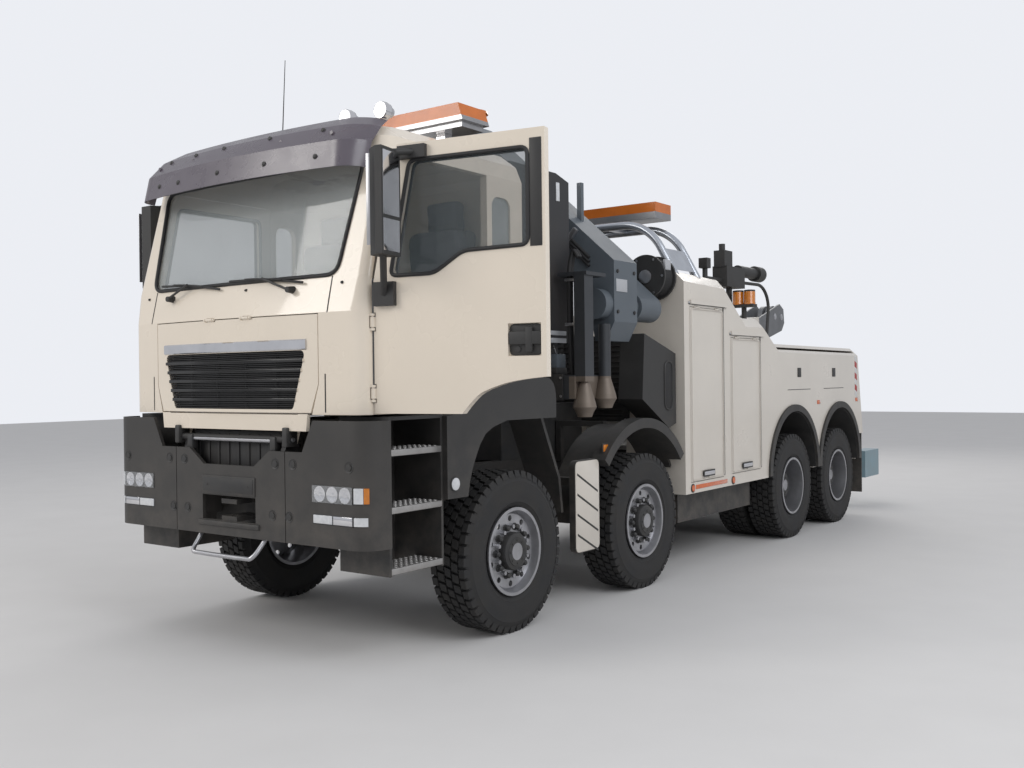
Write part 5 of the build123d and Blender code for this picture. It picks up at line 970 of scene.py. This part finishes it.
def locker_piece(locker, side):
    """Folded edge and bright paddle latch of a locker's door."""
    front, rear, low, top = LOCKERS[locker]
    shape = Shape("body_paint")
    outline = rectangle((front + 0.012, rear - 0.012), (low + 0.012, top - 0.012), 0.03)
    shape.tube([(1.2615, *point) for point in outline], 0.0035, 6, closed=True)
    middle = (front + rear) / 2
    shape.boxes(("hub_black", (1.259, 1.2665), near(middle, 0.115), (low + 0.030, low + 0.088), 0.006),
                ("chrome", (1.264, 1.2715), near(middle, 0.100), (low + 0.042, low + 0.076), 0.004))
    if side == "right":
        mirrored(shape.mesh)
    piece(f"locker_trim_{locker}_{side}", shape, f"locker_{locker}_{side}")


def body_trim(shape):
    """Markers, dark seams, filler squares, gutters and warning stripes along the body's sides."""
    shape.box((1.2495, 1.2545), (2.685, 3.330), (0.722, 0.760), 0.002)
    for front in (5.700, 7.000):
        shape.box((1.2495, 1.2555), (front, front + 0.090), (1.395, 1.440), 0.004)
    for name, profile in (("orange_lens", MARKER_LENS), ("hub_black", MARKER_RIM)):
        shape.paint(name)
        for y in (2.625, 3.465):
            shape.lathe((1.2485, y, 0.736), LEFTWARD, profile, 24)
    for y, low, high in DOOR_SEAMS:
        shape.box((1.2490, 1.2545), near(y, 0.008), (low, high), 0.001)
    for y in (5.169, 6.243):
        shape.box((1.2490, 1.2560), near(y, 0.050), (1.700, 1.800), 0.004)
        shape.box((1.2492, 1.2520), near(y, 0.330), (1.564, 1.571), 0.001)
    for front, rear, low, top in LOCKERS.values():
        gutter, seam = near(top + 0.039, 0.009), near(top + 0.029, 0.005)
        shape.boxes(("hub_black", (1.2480, 1.2590), (front - 0.026, rear + 0.050), seam, 0.002),
                    ("pale_alloy", (1.2480, 1.2600), (front - 0.030, rear + 0.030), gutter, 0.004))
    for k in range(7):
        shape.paint("stripe_red" if k % 2 else "stripe_white")
        shape.plate(slanted((6.985, 7.065), 1.470 + 0.070 * k, 0.030, 0.068), 1.2492, 1.2515, 0.0006)


# Gear on the body, wheel arches, tail and deck
TWIN_LAMP = pairs(60, 0, 60, 20, 57.5, 24, 57.5, 128, 50, 144, 30, 151, 0, 152)
REEL_X, REEL_HEIGHT = 1.010, 2.585
REEL_CAP = pairs(60, 0, 58, 10, 30, 16, 0, 18)
ARCH_SECTION = pairs(672, 638, 1244, 638, 1244, 631, 672, 631)
ARCH_HEIGHT = 0.700
ARCH_STEPS = 32
TAIL_LAMPS = (("white_lens", (0.792, 0.880)), ("red_lens", (0.886, 1.040)), ("amber_lens", (1.046, 1.168)))
REFLECTOR = pairs(38, 0, 37, 16, 30, 22, 0, 25)
HEAD_PIN = pairs(40, 0, 40, 5, 24, 7, 23, 12, 0, 13)


def wound(core, ends, first, turns, pitch, section):
    """The profile of turns wound side by side on a core, each with a section about its own middle."""
    wave = [(radius, first + pitch * k + along) for k in range(turns) for radius, along in section]
    return [(core, ends[0]), *wave, (core, ends[1])]


HOSE_WINDING = wound(0.136, (2.266, 2.428), 2.277, 8, 0.020,
                     pairs(163, -9, 171, -3, 171, 3, 163, 9))
ROPE_WINDING = wound(0.112, (-0.216, 0.216), -0.204, 18, 0.024,
                     pairs(136, -10, 143, -4, 143, 4, 136, 10))


def work_lamps(shape):
    """Lenses of the twin lamp, a pale cover on the work lamps, and the hose reel's winding and bolts."""
    for x in (0.920, 1.045):
        shape.lathe((x, 4.360, 2.452), UPWARD, TWIN_LAMP, 32)
    shape.paint("rubber_black")
    shape.lathe((REEL_X, 0, REEL_HEIGHT), BACKWARD, HOSE_WINDING, 48)
    shape.paint("steel")
    for x, height in circle(0.165, 6):
        shape.rod((REEL_X + x, 2.236, REEL_HEIGHT + height), (0, 0.005, 0), 0.011, sides=10)
    shape.lathe((REEL_X, 2.241, REEL_HEIGHT), FORWARD, REEL_CAP, 28)
    shape.paint("pale_alloy")
    shape.box((1.150, 1.178), (2.300, 2.400), (2.640, 2.730), 0.006)


def arch_liners(shape):
    """Dark liners under the body's wheel arches, and the oval pocket of the boxes ahead of the body."""
    for centre in (5.020, 6.430):
        shape.skin([[spot(x, centre + radius * cos(turn), ARCH_HEIGHT + radius * sin(turn))
                     for x, radius in ARCH_SECTION]
                    for turn in (pi * k / ARCH_STEPS for k in range(ARCH_STEPS + 1))])
    pocket = rectangle((2.235, 2.375), (1.440, 1.850), 0.068, 8)
    shape.tube([(1.192, *point) for point in pocket], 0.008, 8, closed=True)
    shape.paint("rubber_black")
    shape.plate(pocket, 1.186, 1.1925, 0.002)


def tail_lamps(shape):
    """Tail lamps in three colours and reflectors on the body's rear faces, and bolts of the mud flaps."""
    shape.box((0.780, 1.180), (7.200, 7.262), (1.105, 1.235), 0.006)
    shape.boxes(*((name, x, (7.255, 7.272), (1.118, 1.222), 0.006) for name, x in TAIL_LAMPS))
    shape.paint("red_lens")
    shape.lathe((1.115, 7.215, 1.310), BACKWARD, REFLECTOR, 24)
    shape.paint("steel")
    for x in (0.950, 1.070, 1.190):
        shape.rod((x, 7.228, 0.960), (0, 0.028, 0), 0.010, sides=6)


def guard_screen(shape):
    """A dark guard screen between the body's halves, behind the crane."""
    for x in ((-0.700, -0.640), (-0.020, 0.020), (0.640, 0.700)):
        shape.box(x, (2.462, 2.4915), (1.320, 2.100), 0.004)
    for low in (1.320, 1.700, 2.060):
        shape.box(near(0, 0.690), (2.464, 2.484), (low, low + 0.040), 0.004)
    shape.box(near(0, 0.665), (2.472, 2.476), (1.330, 2.090), 0.001)
    for k in range(15):
        height = 1.372 + 0.048 * k
        shape.box(near(0, 0.650), (2.458, 2.472), (height, height + 0.014), 0.003, ("X", 20))
    shape.paint("steel")
    for x in (-0.670, 0, 0.670):
        for height in (1.340, 1.720, 2.080):
            shape.rod((x, 2.463, height), (0, -0.010, 0), 0.010, sides=6)


def boom_head_trim(shape):
    """Pin caps on both sides of the recovery boom's head."""
    side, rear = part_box("boom_extension")[1][:2]
    heights = [v.co.z for v in NODES["boom_extension"].data.vertices if v.co.y > rear - 0.30]
    middle = sum(heights) / len(heights) + TOW_HEIGHT
    for y in (rear - TOW_AHEAD - 0.33, rear - TOW_AHEAD - 0.12):
        for sign in SIDES.values():
            shape.lathe((sign * (side - 0.002), y, middle), (sign, 0, 0), HEAD_PIN, 24)


def winch_rope(shape):
    """Steel rope wound on the winch drums."""
    for y in (4.250, 4.750):
        shape.lathe((0, y, 1.330), LEFTWARD, ROPE_WINDING)


# Seats: length and height, half size, crown, lean, and the count and axis of the sewn channels
SEAT_X = 0.560
PADS = {
    "cushion": ((-0.250, 2.042), (0.262, 0.268, 0.084), 0.10, -1.5, 3, 0),
    "back": ((0.060, 2.425), (0.248, 0.368, 0.074), 0.12, 98.0, 4, 1),
    "headrest": ((0.115, 2.888), (0.142, 0.112, 0.052), 0.15, 101.0, 0, 0),
}
CHANNEL_DEEP = 0.10
CHANNEL_HALF = 0.07
PAD_CUTS = 15
PAD_SQUARENESS = 6
PAD_PULL = (0.035, 0.03)
UNDERSIDE_CROWN = 0.3
TOP_FROM = 0.5


def cushion(shape, middle, half, crown, lean, channels, axis):
    """A closed pad whose sides pull in between its corners, with sewn channels across its face."""
    part = bmesh.new()
    bmesh.ops.create_cube(part, size=2)
    bmesh.ops.subdivide_edges(part, edges=part.edges[:], cuts=PAD_CUTS, use_grid_fill=True)
    for vertex in part.verts:
        length = sum(abs(c) ** PAD_SQUARENESS for c in vertex.co) ** (1 / PAD_SQUARENESS)
        u, v, w = vertex.co / length
        swell = 1 + crown * (1 - u * u) * (1 - v * v) * (1 if w > 0 else UNDERSIDE_CROWN)
        if w > TOP_FROM:
            for channel in range(1, channels + 1):
                away = abs((u, v)[axis] + 1 - 2 * channel / (channels + 1))
                swell -= CHANNEL_DEEP * max(0.0, 1 - away / CHANNEL_HALF)
        vertex.co = (u * half[0] * (1 - PAD_PULL[0] * (1 - v * v)),
                     v * half[1] * (1 - PAD_PULL[1] * (1 - u * u)), w * half[2] * swell)
    shape.take(part, Matrix.Translation(spot(*middle)) @ Matrix.Rotation(radians(lean), 4, "X"))


def seat_pieces():
    """Cushion, back and headrest of both seats."""
    for side, sign in SIDES.items():
        for pad, (place, *values) in PADS.items():
            shape = Shape("seat_cloth")
            cushion(shape, (sign * SEAT_X, *place), *values)
            made = piece(f"seat_{pad}_{side}", shape, "cab")


# Pieces: the function that draws each, its body, slot and first finish, and if it has a mirror image
FRONT = (
    (grille_louvres, "flap", "grille", "grille_black", False),
    (windscreen_trim, "cab", "cab_paint", "rubber_black", False),
    (visor_bolts, "cab", "visor", "hub_black", False),
    (roof_trim, "cab", "roof_gear", "hub_black", False),
    (bumper_trim, "chassis", "bumper", "hub_black", False),
    (pivot_covers, "cab", "bumper", "hub_black", True),
    (notch_panel, "chassis", "chassis", "chassis_black", False),
    (lamp_inserts, "chassis", "lamp", "hub_black", True),
)
MIDDLE_PART = (
    (step_plates, "chassis", "steps", "tread_alloy", True),
    (fender_gear, "chassis", "fender", "white_lens", True),
    (intake_trim, "chassis", "intake", "pale_alloy", False),
    (crane_trim, "crane_boom", "crane_paint", "rubber_black", False),
    (valve_bank, "chassis", "crane_paint", "hub_black", False),
)
REAR = (
    (body_trim, "chassis", "body_paint", "orange_lens", True),
    (work_lamps, "chassis", "side_gear", "amber_lens", False),
    (arch_liners, "chassis", "body_paint", "hub_black", True),
    (tail_lamps, "chassis", "lamp", "hub_black", True),
    (guard_screen, "chassis", "deck", "hub_black", False),
    (boom_head_trim, "boom_extension", "boom_paint", "steel", False),
    (winch_rope, "chassis", "deck", "steel", False),
)


def build(rows):
    """Makes the pieces of a table, each named as its function."""
    for draw, body, slot, first, twin in rows:
        shape = Shape(first)
        draw(shape)
        if twin:
            shape.twin()
        piece(draw.__name__, shape, body)


wheel_pieces("12", (0.0,), *SINGLE_HUB)
wheel_pieces("34", (-TWIN_HALF, TWIN_HALF), *TWIN_HUB)
build(FRONT)
for side in SIDES:
    door_piece(side)
build(MIDDLE_PART)
for side in SIDES:
    leg_hoses(side)
for locker in LOCKERS:
    for side in SIDES:
        locker_piece(locker, side)
build(REAR)
seat_pieces()

# Floor, sky and lamps
FLOOR_SIZE = 80.0
FLOOR_ROUGH = 0.85
SKY_COLOUR = (0.93, 0.95, 1.0, 1.0)
SKY_LIGHT = 0.62
SKY_SEEN = 0.90


def floor_piece():
    """A wide pale matt floor, which keeps the object's shadow."""
    made = Finish("floor_pale")
    made.shade({"Base Color": made.mix(made.noise(1.5, 6.0), (0.62, 0.61, 0.60), (0.68, 0.67, 0.66)),
                "Roughness": FLOOR_ROUGH})
    bpy.ops.mesh.primitive_plane_add(size=FLOOR_SIZE, location=(0, aft(3.5), up(0)))
    floor = bpy.context.object
    floor.name = "floor"
    floor.data.materials.append(MATERIALS["floor_pale"])


def sky():
    """A sky that is nearly white to the camera and through glass, and gives the object less light."""
    SCENE.world = bpy.data.worlds.new("sky")
    tree = Tree(SCENE.world)
    rays = (tree.node("LightPath", {}, f"Is {ray} Ray") for ray in ("Camera", "Transmission"))
    seen = tree.math("MAXIMUM", *rays)
    tree.feed(tree.tree.nodes["Background"], {"Color": SKY_COLOUR,
                                              "Strength": tree.ramp(seen, 0.0, 1.0, SKY_LIGHT, SKY_SEEN)})


def area_lamp(name, place, target, size, power, colour=(1.0, 0.97, 0.93)):
    """A soft rectangular lamp that looks at a point."""
    data = bpy.data.lights.new(name, "AREA")
    data.shape = "RECTANGLE"
    data.size, data.size_y = size
    data.energy = power
    data.color = colour
    lamp = bpy.data.objects.new(name, data)
    SCENE.collection.objects.link(lamp)
    lamp.location = place
    lamp.rotation_euler = (Vector(target) - Vector(place)).to_track_quat("-Z", "Y").to_euler()


floor_piece()
sky()
MIDDLE = (0, aft(3.0), up(1.6))
area_lamp("key", (-6.5, aft(-11.0), up(8.0)), (0, aft(0), up(1.8)), (6, 6), 620)
area_lamp("fill", (11.0, aft(-1.0), up(8.5)), MIDDLE, (9, 7), 620, (0.95, 0.97, 1.0))
area_lamp("back", (-4.0, aft(14.0), up(9.0)), MIDDLE, (8, 6), 330)

# Camera, at the photograph's place
CAMERA_PLACE = (5.4105, -4.3129, 0.8149)
CAMERA_LENS = 36.56
CAMERA_SENSOR = 36.0
CAMERA_REACH = 300.0
CAMERA_YAW = radians(36.436)
CAMERA_PITCH = radians(-0.267)
CAMERA_ROLL = radians(-0.684)

camera_data = bpy.data.cameras.new("camera")
camera_data.lens = CAMERA_LENS
camera_data.sensor_width = CAMERA_SENSOR
camera_data.clip_end = CAMERA_REACH
camera = bpy.data.objects.new("camera", camera_data)
SCENE.collection.objects.link(camera)
level = Vector((cos(CAMERA_YAW), sin(CAMERA_YAW), 0))
forward = Vector((-level.y * cos(CAMERA_PITCH), level.x * cos(CAMERA_PITCH), sin(CAMERA_PITCH)))
right = level * cos(CAMERA_ROLL) + level.cross(forward) * sin(CAMERA_ROLL)
turn = Matrix((right, right.cross(forward), -forward)).transposed().to_4x4()
camera.matrix_world = Matrix.Translation(CAMERA_PLACE) @ turn
SCENE.camera = camera
SCENE.view_settings.view_transform = "Standard"
